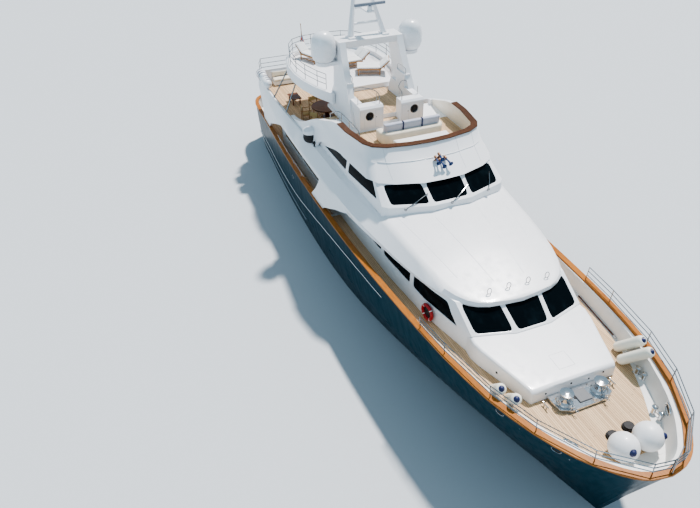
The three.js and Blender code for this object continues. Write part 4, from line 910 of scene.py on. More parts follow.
class Yard:
    """Where pieces get their finishes and are fixed to the bodies."""

    def __init__(self, frame: dict[str, object]) -> None:
        """Keeps the loaded frame.
        """
        self.nodes: dict[str, Piece] = frame["nodes"]
        self.materials: dict[str, bpy.types.Material] = {}
        self.trees: dict[str, BVHTree] = {}

    def material(self, finish: Finish) -> bpy.types.Material:
        """The material of a finish, made the first time it is asked for."""
        if finish.name not in self.materials:
            self.materials[finish.name] = finish.material()
        return self.materials[finish.name]

    def fix(
        self,
        piece: Piece,
        finishes: Finishes,
        body: str = YACHT,
        replaces: Sequence[str] = (),
    ) -> Piece:
        """Finishes a piece and fixes it to a body.

        Args:
            piece: The piece.
            finishes: Its finish, or one for each number that its faces have.
            body: The body it rides on.
            replaces: The nodes that it stands for.

        Returns:
            The piece.
        """
        finishes = finishes if isinstance(finishes, (list, tuple)) else [finishes]
        numbers = [polygon.material_index for polygon in piece.data.polygons]
        piece.data.materials.clear()
        for finish in finishes:
            piece.data.materials.append(self.material(finish))
        piece.data.polygons.foreach_set("material_index", numbers)
        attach(piece, body)
        if replaces:
            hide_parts(*replaces)
        log.info("%s: %d faces on %s", piece.name, len(piece.data.polygons), body)
        return piece

    def dress(
        self,
        node: str,
        finishes: Finishes,
        choose: Choice | None = None,
        angle: float = 32.0,
    ) -> None:
        """Gives a solid its finish and smooth shading.

        Args:
            node: The solid's name.
            finishes: Its finish, or several.
            choose: Which of the finishes a face has, from its middle and its normal.
            angle: The least angle of an edge that stays sharp, in degrees.
        """
        finishes = finishes if isinstance(finishes, (list, tuple)) else [finishes]
        mesh = self.nodes[node].data
        mesh.materials.clear()
        for finish in finishes:
            mesh.materials.append(self.material(finish))
        chosen = [choose(face.center, face.normal) if choose else 0 for face in mesh.polygons]
        mesh.polygons.foreach_set("material_index", chosen)
        mesh.normals_split_custom_set(self.soft_normals(mesh, angle))
        log.info("%s: dressed", node)

    def soft_normals(self, mesh: bpy.types.Mesh, angle: float) -> list[Vector]:
        """A normal for each corner, shared with the faces that meet it at less than an angle.

        Args:
            mesh: The mesh, whose faces need not share their corners.
            angle: The angle in degrees.

        Returns:
            The normals.
        """
        limit = math.cos(math.radians(angle))
        meeting: dict[tuple[int, ...], list[Vector]] = {}
        keys = []
        for face in mesh.polygons:
            for index in face.vertices:
                key = tuple(round(part * 1e4) for part in mesh.vertices[index].co)
                keys.append((key, face.index))
                meeting.setdefault(key, []).append(face.normal * face.area)
        normals = []
        for key, index in keys:
            own = mesh.polygons[index].normal
            total = Vector()
            for other in meeting[key]:
                if other.length > 0 and own.dot(other) / other.length > limit:
                    total += other
            normals.append(total.normalized() if total.length > 0 else own)
        return normals

    def recast(
        self,
        node: str,
        finishes: Finishes,
        width: float,
        choose: Choice | None = None,
        angle: float = 35.0,
        segments: int = 3,
    ) -> Piece:
        """Makes a solid again with rounded edges, in its place.

        Args:
            node: The solid's name.
            finishes: Its finish, or several.
            width: The width of the rounding.
            choose: Which of the finishes a face has, from its middle and its normal.
            angle: The least angle of an edge that is rounded, in degrees.
            segments: How many faces the rounding has.

        Returns:
            The new piece.
        """
        source = self.nodes[node]
        piece = bpy.data.objects.new(f"{node}_finished", source.data.copy())
        bpy.context.scene.collection.objects.link(piece)
        work = bmesh.new()
        work.from_mesh(piece.data)
        bmesh.ops.remove_doubles(work, verts=work.verts, dist=2e-4)
        bmesh.ops.dissolve_degenerate(work, edges=work.edges, dist=1e-4)
        bmesh.ops.dissolve_limit(work, angle_limit=math.radians(0.6), verts=work.verts, edges=work.edges)
        work.to_mesh(piece.data)
        work.free()
        softened(piece, width, segments, angle)
        if choose:
            chosen = [choose(face.center, face.normal) for face in piece.data.polygons]
            piece.data.polygons.foreach_set("material_index", chosen)
        return self.fix(piece, finishes, source["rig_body"], [node])

    def tree(self, node: str) -> BVHTree:
        """A search tree of a solid's faces."""
        if node not in self.trees:
            mesh = self.nodes[node].data
            points = [vertex.co for vertex in mesh.vertices]
            faces = [tuple(face.vertices) for face in mesh.polygons]
            self.trees[node] = BVHTree.FromPolygons(points, faces)
        return self.trees[node]

    def met(self, node: str, start: Point, way: Point) -> Vector | None:
        """The first point of a solid that a ray meets, if it meets it."""
        return self.tree(node).ray_cast(Vector(start), Vector(way))[0]

    def on(self, node: str, start: Point, way: Point) -> Vector:
        """The first point of a solid that a ray meets, which has to meet it."""
        hit = self.met(node, start, way)
        if hit is None:
            raise ValueError(f"nothing of {node} is met from {tuple(start)} towards {tuple(way)}")
        return hit

    def on_side(self, node: str, x: float, z: float, side: float) -> Vector:
        """The point on a solid's outer side at a length and a height."""
        return self.on(node, (x, side * FAR, z), (0.0, -side, 0.0))

    def on_top(self, node: str, x: float, y: float) -> Vector:
        """The topmost point of a solid at a length and a breadth."""
        return self.on(node, (x, y, FAR), DOWN)

    def on_front(self, node: str, y: float, z: float) -> Vector | None:
        """The foremost point of a solid at a breadth and a height, if it has one."""
        return self.met(node, (FAR, y, z), AFT)

    def floor(self, x: float, y: float, above: float = 5.0) -> float:
        """The height of the deck below a point, whether it is teak or paint."""
        hits = [self.met(node, (x, y, above), DOWN) for node in ("hull", "foredeck_teak", "aft_deck_teak")]
        return max(hit.z for hit in hits if hit is not None)


# The yacht's sub-assemblies


def tops(_: Vector, normal: Vector) -> int:
    """1 for what faces up, and 0 for the rest."""
    return int(normal.z > 0.95)


@dataclass
class Hull:
    """The hull's paint, its rubbing strakes, portlights and fairleads."""

    stern_middle: float = -14.5
    bow_middle: float = 13.0
    steps_end: float = -14.9
    upper_strake: tuple[Pair, ...] = (
        (-15.6, 1.18), (-12.0, 1.22), (-8.5, 1.3), (-5.0, 1.58),
        (-1.5, 2.15), (1.5, 2.62), (4.2, 2.9), (6.6, 3.04),
    )
    lower_strake: tuple[Pair, ...] = ((-15.6, 0.62), (-12.0, 0.6), (-8.5, 0.6), (-5.0, 0.64), (-3.4, 0.7))
    treads_breadth: Pair = (1.2, 2.0)
    treads_top: float = 2.12
    portlights: tuple[float, ...] = (-6.6, -4.4, -2.2, 0.6, 2.8, 6.2, 8.2)
    portlight_height: float = 1.15
    portlight_rings: tuple[Pair, ...] = ((1.0, -0.01), (1.0, 0.006), (0.9, 0.008), (0.86, 0.002))
    portlight_half: Pair = (0.3, 0.14)
    fairlead_places: tuple[Pair, ...] = ((-15.6, 2.6), (-4.9, 2.6), (13.5, 3.55), (15.3, 3.6))
    fairlead_half: Pair = (0.15, 0.075)

    def finish_of(self, middle: Vector, normal: Vector) -> int:
        """0 for the topsides, 1 for the white inside, 2 for the bottom and 3 for teak treads."""
        if middle.z < 0.0 and normal.z < 0.7:
            return 2
        nearest = min(max(middle.x, self.stern_middle), self.bow_middle)
        outward = normal.x * (middle.x - nearest) + normal.y * middle.y
        near, far = self.treads_breadth
        is_at_steps = middle.x < self.steps_end and near < abs(middle.y) < far and middle.z < self.treads_top
        if is_at_steps and normal.z > 0.9:
            return 3
        if normal.z > 0.7 or outward < 0.0:
            return 1
        return 0

    def strakes(self, yard: Yard) -> None:
        """Two slim mouldings along each side, each with a bright facing."""
        for name, side in SIDES:
            for label, table in (("upper", self.upper_strake), ("lower", self.lower_strake)):
                line = smooth_line([(x, 0.0, z) for x, z in table], 8)
                path = [yard.on_side("hull", point.x, point.z, side) for point in line]
                out = Vector((0.0, side * 0.006, 0.0))
                shape = Shape().tube([point - out for point in path], 0.028, 8)
                shape.tube([point + out * 3 for point in path], 0.017, 8, tag=1)
                piece = shape.piece(f"{label}_strake_{name}")
                yard.fix(piece, [Paint.NAVY, Paint.BRIGHT_STEEL])

    def lights(self, yard: Yard) -> None:
        """Flush oval portlights in the topsides."""
        for name, side in SIDES:
            shape = Shape()
            for x in self.portlights:
                centre = yard.on_side("hull", x, self.portlight_height, side)
                forward = yard.on_side("hull", x + 0.2, self.portlight_height, side) - centre
                upward = yard.on_side("hull", x, self.portlight_height + 0.15, side) - centre
                forward.normalize()
                upward.normalize()
                out = forward.cross(upward) * -side
                wide, high = self.portlight_half
                rings = []
                for scale, lift in self.portlight_rings:
                    middle, across, up = centre + out * lift, forward * wide * scale, upward * high * scale
                    rings.append([middle + across * math.cos(t) + up * math.sin(t) for t in turns_of(28)])
                shape.rings(rings[:3])
                shape.add(rings[3], [tuple(range(28))], 1)
            yard.fix(shape.piece(f"portlights_{name}"), [Paint.NAVY, Paint.GLASS])

    def fairleads(self, yard: Yard) -> None:
        """Oval steel fairleads in the bulwark."""
        for name, side in SIDES:
            shape = Shape()
            for x, z in self.fairlead_places:
                centre = yard.on_side("hull", x, z, side)
                ahead, behind = (yard.on_side("hull", x + step, z, side) for step in (0.3, -0.3))
                rim = self.oval(centre + Vector((0, side * 0.004, 0)), (ahead - behind).normalized())
                shape.tube(rim, 0.014, 8, True)
                # The black face inside each rim is painted shade: it stands for the hole through the
                # bulwark.
                shape.add(rim, [tuple(range(len(rim)))], 1)
            yard.fix(shape.piece(f"fairleads_{name}"), [Paint.STEEL, Paint.RUBBER])

    def oval(self, centre: Vector, forward: Vector) -> list[Vector]:
        """The rim line of a fairlead."""
        wide, high = self.fairlead_half
        across, up = forward * wide, Vector(UP) * high
        return [centre + across * math.cos(t) + up * math.sin(t) for t in turns_of(20)]

    def build(self, yard: Yard) -> None:
        """Makes all of the hull's pieces."""
        finishes = [Paint.NAVY, Paint.DECK_WHITE, Paint.BOTTOM, Paint.TEAK]
        yard.dress("hull", finishes, self.finish_of)
        for node in ("cap_rail", "transom_cap_rail"):
            yard.recast(node, Paint.VARNISH, 0.018)
        yard.recast("garage_door", Paint.NAVY, 0.02)
        yard.recast("swim_platform", [Paint.WHITE, Paint.TEAK], 0.03, tops)
        for node in ("aft_deck_teak", "foredeck_teak", "sundeck_teak"):
            yard.dress(node, Paint.TEAK)
        for name, _ in SIDES:
            yard.dress(f"propeller_{name}", Paint.BRONZE)
            yard.dress(f"shaft_bracket_{name}", Paint.BRONZE)
            yard.dress(f"rudder_{name}", Paint.BOTTOM)
        self.strakes(yard)
        self.lights(yard)
        self.fairleads(yard)


@dataclass
class Superstructure:
    """The white houses, decks and their glass."""

    upper_floor: float = 4.6
    well_end: float = -2.4
    hoops_at: float = 9.85
    hoop_places: tuple[float, ...] = (-1.08, -0.3, 0.5, 1.3)
    horns_place: Pair = (0.15, 6.93)
    ledge_height: float = 7.0
    horns_at: tuple[tuple[float, float, float], ...] = (
        (-0.24, 0.1, 1.0), (-0.02, -0.06, 1.15), (-0.08, 0.2, 0.9), (0.22, 0.02, 1.2),
    )
    horn_bell: tuple[Pair, ...] = (
        (0.03, 0.0), (0.032, 0.14), (0.045, 0.22), (0.075, 0.29), (0.105, 0.32), (0.1, 0.325), (0.03, 0.24),
    )
    horn_body: tuple[Pair, ...] = ((0.045, -0.12), (0.06, -0.1), (0.06, 0.04), (0.035, 0.06))
    hood_at: Pair = (-3.0, 3.3)
    lantern: tuple[Pair, ...] = ((0.2, 5.42), (0.3, 5.5), (0.335, 5.58), (0.335, 5.86), (0.3, 5.905))
    lantern_band: tuple[Pair, ...] = ((0.345, 5.64), (0.35, 5.66), (0.35, 5.68), (0.345, 5.7))
    lantern_fitting: tuple[Pair, ...] = ((0.05, 5.42), (0.05, 5.56), (0.09, 5.58), (0.09, 5.66), (0.04, 5.7))
    wiper_ends: tuple[tuple[Pair, Pair], ...] = (
        ((-1.94, 5.7), (-0.98, 6.05)), ((-0.04, 5.76), (0.9, 6.08)), ((1.8, 5.76), (2.2, 6.1)),
    )
    crease_lines: tuple[tuple[Point, Point], ...] = (
        ((5.6, -0.95, 0.0), (9.4, -0.62, 0.0)), ((5.6, 0.95, 0.0), (9.4, 0.62, 0.0)),
        ((4.9, -2.3, 0.0), (8.8, -1.75, 0.0)), ((4.9, 2.3, 0.0), (8.8, 1.75, 0.0)),
    )
    seam_places: tuple[float, ...] = (-2.05, 1.15, 2.0)
    stair_rail: tuple[Point, ...] = (
        (-1.5, -2.72, 7.36), (-1.5, -2.4, 7.4), (-1.2, -2.3, 7.42),
        (-0.3, -2.27, 7.42), (0.8, -2.28, 7.4), (1.3, -2.4, 7.3),
    )
    landing_hoop: tuple[Point, ...] = (
        (-0.86, 0.56, 7.7), (-0.88, 0.56, 8.05), (-1.3, 0.6, 8.18),
        (-1.9, 1.05, 8.18), (-2.05, 1.38, 8.05), (-2.05, 1.42, 7.72),
    )
    landing_grip: tuple[Point, ...] = (
        (-2.2, 1.36, 8.34), (-2.22, 1.36, 8.62), (-3.0, 1.36, 8.62), (-3.04, 1.36, 8.34),
    )
    landing_posts: tuple[Pair, ...] = ((-1.15, 0.58), (-1.15, 1.5))
    side_rail_rise: float = 0.3

    def upper_finish(self, middle: Vector, normal: Vector) -> int:
        """1 for the teak floor of the upper deck, and 0 for paint."""
        is_floor = normal.z > 0.98 and abs(middle.z - self.upper_floor) < 0.01 and middle.x < self.well_end
        return int(is_floor)

    def hoops(self, yard: Yard) -> None:
        """Small steel hoops along the coachroof's front edge."""
        shape = Shape()
        for y in self.hoop_places:
            foot = yard.on_top("upper_deck", self.hoops_at, y)
            loop = arc(foot + Vector((0, 0, 0.12)), 0.13, -90, 270, (0.2, 0.5, 0), (0, 0, 1), 20)
            shape.tube(loop[:-1], 0.014, 8, True)
        yard.fix(shape.piece("coachroof_hoops"), Paint.STEEL)

    def wipers(self, yard: Yard) -> None:
        """A long wiper on each of the wheelhouse's front panes."""
        shape = Shape()
        for (foot_y, foot_z), (tip_y, tip_z) in self.wiper_ends:
            places = ((foot_y, foot_z), (tip_y, tip_z))
            foot, tip = (self.on_front(yard, y, z) + Vector((0.04, 0.0, 0.03)) for y, z in places)
            middle = foot.lerp(tip, 0.5) + Vector((0.05, 0.0, 0.03))
            shape.tube(smooth_line([foot, middle, tip], 5), 0.02, 8)
            blade = (tip - foot).normalized() * 0.3
            shape.tube([tip - blade, tip + blade * 0.3], 0.018, 8, tag=1)
            boss = [(0.06, -0.05), (0.06, 0.02), (0.04, 0.05), (0.0, 0.055)]
            shape.turned(boss, foot, (0.5, 0.0, 0.86), 16)
        yard.fix(shape.piece("wheelhouse_wipers"), [Paint.STEEL, Paint.RUBBER])

    def on_front(self, yard: Yard, y: float, z: float) -> Vector:
        """The foremost point of the wheelhouse's front or its glass at a breadth and a height."""
        hits = [yard.on_front(node, y, z) for node in ("wheelhouse", "wheelhouse_glass", "upper_deck")]
        return max((hit for hit in hits if hit is not None), key=lambda hit: hit.x)

    def build(self, yard: Yard) -> None:
        """Makes all of the superstructure's pieces."""
        yard.recast("upper_deck", [Paint.WHITE, Paint.TEAK], 0.05, self.upper_finish)
        yard.recast("sundeck", [Paint.WHITE, Paint.TEAK_CREAM], 0.05, self.coaming_finish)
        yard.recast("foredeck_trunk", Paint.WHITE, 0.04, segments=4)
        yard.dress("main_deckhouse", Paint.WHITE)
        yard.dress("wheelhouse", Paint.WHITE)
        for node in ("main_front_glass", "wheelhouse_glass"):
            yard.dress(node, Paint.GLASS)
        # The saloon's side glass carries painted warm reflection as well as its bronze tint.
        for name, _ in SIDES:
            yard.dress(f"saloon_glass_{name}", Paint.WARM_REFLECTION_GLASS)
        # The doors' glass carries the same painted warm reflection.
        for room in ("saloon", "lounge"):
            for name, _ in SIDES:
                yard.recast(f"{room}_door_{name}", Paint.WARM_REFLECTION_GLASS, 0.006)
        decked = [Paint.WHITE, Paint.TEAK]
        yard.recast("aft_sundeck", decked, 0.09, self.landing_finish, segments=4)
        yard.recast("sundeck_stairs", decked, 0.01, tops)
        # The sundeck's cap rail gets the varnish that is darkened with painted shade.
        yard.recast("sundeck_cap_rail", Paint.SHADED_VARNISH, 0.016)
        self.hoops(yard)
        self.wipers(yard)
        self.horns(yard)
        self.sidelights(yard)
        self.creases(yard)
        self.seams(yard)
        self.deck_rails(yard)

    def coaming_finish(self, middle: Vector, normal: Vector) -> int:
        """1 for the cream inner face of the coaming, and 0 for paint."""
        is_inner = normal.y * middle.y + normal.x * max(middle.x, 0.0) < -0.3
        return int(is_inner and middle.x > -1.4 and 6.6 < middle.z < 7.5 and normal.z < 0.6)

    def landing_finish(self, middle: Vector, normal: Vector) -> int:
        """1 for the teak of the landing under the arch, and 0 for paint."""
        return int(normal.z > 0.98 and middle.x > -4.3 and abs(middle.y) < 1.2)

    def horns(self, yard: Yard) -> None:
        """A cluster of four horns: bronzed bodies with deep blue mouths."""
        shape = Shape()
        y, z = self.horns_place
        at = self.on_coaming(yard, y, z) + Vector((0.12, 0.0, 0.0))
        for across, up, length in self.horns_at:
            mouth = at + Vector((0.1 * length, across, up))
            way = Vector((0.96, across * 0.5, -0.22))
            bell = [(radius, height * length) for radius, height in self.horn_bell]
            shape.turned(bell, mouth - way * 0.1, way, 24)
            shape.turned(self.horn_body, mouth - way * 0.12, way, 16, tag=1)
        ends = [at + Vector((-0.05, way * 0.3, -way * 0.02)) for way in (-1.0, 1.0)]
        shape.tube(ends, 0.028, 10, tag=1)
        foot = at - Vector((0.2, 0.0, 0.02))
        stem = [(0.12, 0.0), (0.12, 0.05), (0.05, 0.08), (0.05, 0.2)]
        shape.turned(stem, foot, (1.0, 0.0, 0.05), 20, tag=1)
        yard.fix(shape.piece("horns"), [Paint.HORN, Paint.HORN_BASE])

    def sidelights(self, yard: Yard) -> None:
        """The dark lanterns under the hoods on the upper bulwarks."""
        for name, side in SIDES:
            shape = Shape()
            x, y = self.hood_at[0], side * self.hood_at[1]
            shape.turned(self.lantern, (x, y, 0.0), sides=32)
            shape.turned(self.lantern_band, (x, y, 0.0), sides=32)
            shape.turned(self.lantern_fitting, (x + 0.62, y, 0.0), sides=16)
            yard.fix(shape.piece(f"sidelight_{name}"), Paint.RUBBER)

    def creases(self, yard: Yard) -> None:
        """Faint lengthwise ridges in the coachroof's skin."""
        shape = Shape()
        for start, end in self.crease_lines:
            row = [Vector(start).lerp(Vector(end), k / 24) for k in range(25)]
            path = [yard.on_top("upper_deck", point.x, point.y) - Vector((0.0, 0.0, 0.024)) for point in row]
            shape.tube(path, 0.03, 10)
        yard.fix(shape.piece("coachroof_creases"), Paint.WHITE)

    def seams(self, yard: Yard) -> None:
        """Fine joints in the sundeck's coaming, and its moulded ledge."""
        shape = Shape()
        for y in self.seam_places:
            row = [7.47 - 0.03 * k for k in range(32)]
            shape.tube([self.on_coaming(yard, y, height) for height in row], 0.008, 6)
        yard.fix(shape.piece("coaming_joints"), Paint.LOCKER)
        ledge = Shape()
        front = [self.on_coaming(yard, -2.5 + 0.2 * k, self.ledge_height) for k in range(26)]
        ledge.tube([point - Vector((0.008, 0.0, 0.0)) for point in front], 0.022, 12)
        yard.fix(ledge.piece("coaming_ledge"), Paint.WHITE)

    def on_coaming(self, yard: Yard, y: float, z: float) -> Vector:
        """The foremost point of the sundeck's coaming at a breadth and a height."""
        return yard.on("sundeck", (FAR, y, z), AFT)

    def deck_rails(self, yard: Yard) -> None:
        """Bright rails beside the stairs, around the landing and in the side openings."""
        shape = Shape()
        stair = smooth_line(self.stair_rail, 5)
        shape.tube(stair, 0.019, 8)
        shape.tube([point - Vector((0.0, 0.0, 0.38)) for point in stair], 0.014, 8)
        for k in range(0, len(stair), 5):
            foot = Vector((stair[k].x, stair[k].y, 6.6))
            shape.tube([foot, stair[k]], 0.016, 8)
        for _, side in SIDES:
            shape.tube(smooth_line([(x, side * y, z) for x, y, z in self.landing_hoop], 6), 0.018, 8)
            for x, y in self.landing_posts:
                shape.tube([(x, side * y, 7.7), (x, side * y, 8.12)], 0.014, 8)
            shape.tube(smooth_line([(x, side * y, z) for x, y, z in self.landing_grip], 4), 0.016, 8)
        yard.fix(shape.piece("deck_rails"), Paint.STEEL)
        for name, side in SIDES:
            shape = Shape()
            path = []
            for x in [-8.3 + 0.52 * k for k in range(12)]:
                top = yard.on_top("cap_rail", x, side * self.rail_breadth(x)).z
                edge = yard.on_side("cap_rail", x, top - 0.02, side)
                path.append(edge + Vector((0.0, -side * 0.12, self.side_rail_rise)))
            shape.tube(smooth_line(path, 3), 0.02, 8)
            for point in path[1::3]:
                shape.tube([point - Vector((0.0, 0.0, self.side_rail_rise)), point], 0.014, 8)
            yard.fix(shape.piece(f"side_handrail_{name}"), Paint.STEEL)

    def rail_breadth(self, x: float) -> float:
        """The half-breadth of the middle of the cap rail."""
        return float(np.interp(x, (-12.0, -8.5, -5.0, -1.5), (3.41, 3.62, 3.8, 3.88)))


@dataclass
class Arch:
    """The arch, its mast, the domes and the radar."""

    hole: Point = (-0.745, 1.12, 7.27)
    face: float = -0.652
    speaker_rim: float = 0.2
    speaker_cone: tuple[Pair, ...] = (
        (0.192, -0.03), (0.192, 0.04), (0.18, 0.07), (0.16, 0.04), (0.07, 0.0), (0.05, 0.03), (0.0, 0.04),
    )
    door_spans: tuple[Pair, ...] = ((0.5, 0.84), (1.38, 1.57))
    door_heights: Pair = (6.72, 7.52)
    latch: tuple[Pair, ...] = ((0.022, 0.0), (0.022, 0.012), (0.012, 0.018))

    def build(self, yard: Yard) -> None:
        """Makes all of the arch's pieces."""
        yard.recast("arch", Paint.WHITE, 0.045)
        yard.dress("mast", Paint.WHITE)
        # The scanner's dark blue-grey is painted shade.
        yard.recast("radar_scanner", Paint.SHADED_SCANNER, 0.03)
        for name, _ in SIDES:
            yard.dress(f"sat_dome_{name}", Paint.GELCOAT)
        self.speakers(yard)
        self.lockers(yard)

    def speakers(self, yard: Yard) -> None:
        """Round black loudspeakers in the lockers' holes."""
        shape = Shape()
        for _, side in SIDES:
            base = (self.hole[0], side * self.hole[1], self.hole[2])
            shape.turned(self.speaker_cone, base, (1, 0, 0), 40)
            (_, y, z), reach = base, self.speaker_rim
            rim = [(self.face, y + reach * math.cos(t), z + reach * math.sin(t)) for t in turns_of(40)]
            shape.tube(rim, 0.012, 8, True, tag=1)
        yard.fix(shape.piece("deck_speakers"), [Paint.RUBBER, Paint.STEEL])

    def lockers(self, yard: Yard) -> None:
        """Fine joints around the lockers' doors, with a small latch on each."""
        shape = Shape()
        for _, side in SIDES:
            low, high = self.door_heights
            for y0, y1 in self.door_spans:
                frame = [(-0.648, side * y, z) for y, z in ((y0, low), (y1, low), (y1, high), (y0, high))]
                shape.tube(frame, 0.004, 6, True)
            shape.turned(self.latch, (-0.65, side * 0.8, 7.2), (1, 0, 0), 16, tag=1)
        yard.fix(shape.piece("locker_joints"), [Paint.LOCKER, Paint.STEEL])


@dataclass
class Rails:
    """The steel rails and poles."""

    nodes: tuple[str, ...] = (
        "bow_rail", "aft_sundeck_rail", "upper_stern_rail",
        "upper_side_rail_starboard", "upper_side_rail_port", "jackstaff",
    )
    raft_bands: tuple[float, ...] = (-12.5, -12.2, -11.9, -11.25, -10.95, -10.65)
    raft_radius: float = 0.27
    band_section: tuple[Pair, ...] = ((0.268, -0.022), (0.276, -0.022), (0.276, 0.022), (0.268, 0.022))

    def build(self, yard: Yard) -> None:
        """Makes all of the rails' pieces."""
        for node in self.nodes:
            yard.dress(node, Paint.STEEL, angle=60.0)
        for name, _ in SIDES:
            yard.recast(f"liferafts_{name}", Paint.GELCOAT, 0.02, angle=50.0)
            self.straps(yard, name)

    def straps(self, yard: Yard, name: str) -> None:
        """Webbing around the liferaft canisters, which lie on the bulwark."""
        shape = Shape()
        low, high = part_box(f"liferafts_{name}")
        y, z = (low[1] + high[1]) / 2, high[2] - self.raft_radius
        for x in self.raft_bands:
            rings = []
            for t in turns_of(36):
                across, up = math.cos(t), math.sin(t)
                section = [(x + step, y + far * across, z + far * up) for far, step in self.band_section]
                rings.append(section)
            shape.rings(rings, True)
        yard.fix(shape.piece(f"raft_straps_{name}"), Paint.NAVY_VINYL)


@dataclass
class Foredeck:
    """The windlass, bollards and fenders on the foredeck."""

    capstan_at: Point = (13.85, 0.65, 3.48)
    drum: tuple[Pair, ...] = (
        (0.2, 0.0), (0.2, 0.03), (0.16, 0.05), (0.13, 0.12), (0.135, 0.26), (0.19, 0.34), (0.215, 0.36),
        (0.215, 0.395), (0.1, 0.415), (0.05, 0.43),
    )
    wheel_radius: float = 0.12
    margin_stations: tuple[float, ...] = (13.05, 13.7, 14.4, 15.3, 16.4)
    margin_widths: tuple[float, ...] = (0.1, 0.24, 0.3, 0.38, 0.3)
    post: tuple[Pair, ...] = (
        (0.09, 0.0), (0.07, 0.03), (0.065, 0.2), (0.09, 0.235), (0.1, 0.265), (0.06, 0.29), (0.0, 0.3),
    )
    fender_cap: tuple[Pair, ...] = (
        (0.14, -0.05), (0.135, -0.01), (0.115, 0.03), (0.08, 0.06), (0.05, 0.085), (0.03, 0.1), (0.0, 0.102),
    )
    ball_cap: tuple[Pair, ...] = (
        (0.175, -0.055), (0.165, -0.015), (0.13, 0.005), (0.09, 0.03),
        (0.07, 0.07), (0.05, 0.085), (0.0, 0.09),
    )
    ring_radius: float = 0.29
    fitting: tuple[Pair, ...] = ((0.032, -0.01), (0.032, 0.012), (0.02, 0.02), (0.0, 0.02))
    fairlead_half: Pair = (0.21, 0.14)
    mats_at: tuple[Pair, ...] = ((15.4, -0.1), (15.32, 0.56))
    fender_ends: tuple[tuple[Point, Point], ...] = (
        ((12.511, 2.466, 3.376), (13.309, 2.714, 4.4)), ((13.035, 2.148, 3.381), (13.845, 2.552, 4.437)),
    )
    fender_radius: float = 0.178
    balls: tuple[Point, ...] = ((16.03, -0.37, 3.804), (16.01, 0.53, 3.804))
    ball_caps: tuple[Point, ...] = ((0.7, -0.1, 0.4), (0.5, 0.6, 0.35))
    ball_radius: float = 0.438
    bollards: tuple[Pair, ...] = ((13.85, 2.36), (15.3, 1.66), (-15.35, 2.45))
    inner_fairlead: Pair = (15.5, 3.85)
    hatch_corners: tuple[Pair, ...] = ((12.4, -0.3), (12.4, 0.3), (13.0, 0.3), (13.0, -0.3))
    trunk_fittings: tuple[Pair, ...] = ((-1.1, 3.62), (-0.15, 3.7), (0.55, 3.62), (1.1, 3.7))
    boat_hook: tuple[Pair, ...] = ((9.7, 3.2), (10.9, 3.06), (12.0, 2.88))
    ring_at: Point = (8.64, -2.775, 3.64)
    ring_turn: float = 6.0

    def build(self, yard: Yard) -> None:
        """Makes all of the foredeck's pieces."""
        yard.recast("windlass", Paint.BRIGHT_STEEL, 0.012, angle=50.0)
        yard.recast("chain_hatch", Paint.HATCH, 0.008)
        self.anchor_gear(yard)
        self.margins(yard)
        self.bollard_pairs(yard)
        self.long_fenders(yard)
        self.ball_fenders(yard)
        self.life_ring(yard)
        self.mats(yard)
        self.inner_fairleads(yard)
        self.trunk_gear(yard)
        self.hook(yard)

    def anchor_gear(self, yard: Yard) -> None:
        """Bright drums, brake wheels, stoppers and short runs of chain on the windlass."""
        shape = Shape()
        x, y, z = self.capstan_at
        for _, side in SIDES:
            drum = [(radius + 0.005, height + 0.01) for radius, height in self.drum]
            shape.turned(drum, (x, side * y, z), sides=36)
            wheel = Vector((x + 0.02, side * (y + 0.3), z + 0.16))
            shape.tube(arc(wheel, self.wheel_radius, 0, 342, (1, 0, 0), (0, 0, 1), 19), 0.016, 8, True)
            for k in range(3):
                t = math.pi * k / 3
                spoke = Vector((math.cos(t), 0.0, math.sin(t))) * self.wheel_radius
                shape.tube([wheel - spoke, wheel + spoke], 0.01, 6)
            shape.tube([wheel, wheel + Vector((0.0, -side * 0.18, 0.0))], 0.03, 12)
            shape.box((x + 0.24, side * y - 0.06, z), (x + 0.36, side * y + 0.06, z + 0.11))
            shape.tube([(x + 0.3, side * y - 0.1, z + 0.08), (x + 0.3, side * y + 0.1, z + 0.08)], 0.022, 10)
            for k in range(9):
                middle = Vector((x - 0.02 + 0.065 * k, side * y * (1.0 - 0.012 * k), z + 0.135 - 0.008 * k))
                across = (0, 0, 1) if k % 2 else (0, 1, 0)
                link = arc(middle, 0.036, 0, 330, (1.35, 0, 0), across, 11)
                shape.tube(link, 0.0115, 6, True)
            cleat = Vector((x - 0.1, side * 1.28, z - 0.06))
            bends = ((-0.16, 0, 0.07), (0.0, 0, 0.05), (0.16, 0, 0.07))
            shape.tube([cleat + Vector(bend) for bend in bends], 0.022, 10)
            for step in (-0.06, 0.06):
                shape.tube([cleat + Vector((step, 0, -0.08)), cleat + Vector((step, 0, 0.05))], 0.024, 10)
        yard.fix(softened(shape.piece("anchor_gear"), 0.004, 2, 40.0), Paint.BRIGHT_STEEL)

    def inner_side(self, yard: Yard, x: float, z: float, side: float) -> float:
        """The half-breadth of the deck inside the bulwark."""
        hit = yard.met("hull", (x, 0.0, z), (0.0, side, 0.0))
        return abs(hit.y) if hit is not None else 0.0

    def margins(self, yard: Yard) -> None:
        """White painted margins of the foredeck, and the dark line of the covering board."""
        for name, side in SIDES:
            shape = Shape()
            rings = []
            for x in [13.05 + 0.16 * k for k in range(22)]:
                floor = yard.floor(x, side * 0.3 if x > 14.6 else side * 1.45)
                edge = self.inner_side(yard, x, floor + 0.06, side) + 0.02
                width = float(np.interp(x, self.margin_stations, self.margin_widths))
                inner = max(edge - width, 0.03)
                low, high = floor - 0.01, floor + 0.008
                section = ((inner, low), (edge, low), (edge, high), (inner, high))
                rings.append([(x, side * breadth, height) for breadth, height in section])
            shape.rings(rings)
            yard.fix(shape.piece(f"deck_margin_{name}"), Paint.DECK_WHITE)
            path = []
            for x in [1.6 + 0.5 * k for k in range(23)]:
                floor = yard.floor(x, side * 2.95, 3.6)
                edge = self.inner_side(yard, x, floor + 0.06, side) - 0.27
                path.append((x, side * edge, floor + 0.001))
            line = Shape().tube(path, 0.007, 6)
            yard.fix(line.piece(f"margin_plank_{name}"), Paint.OILED)

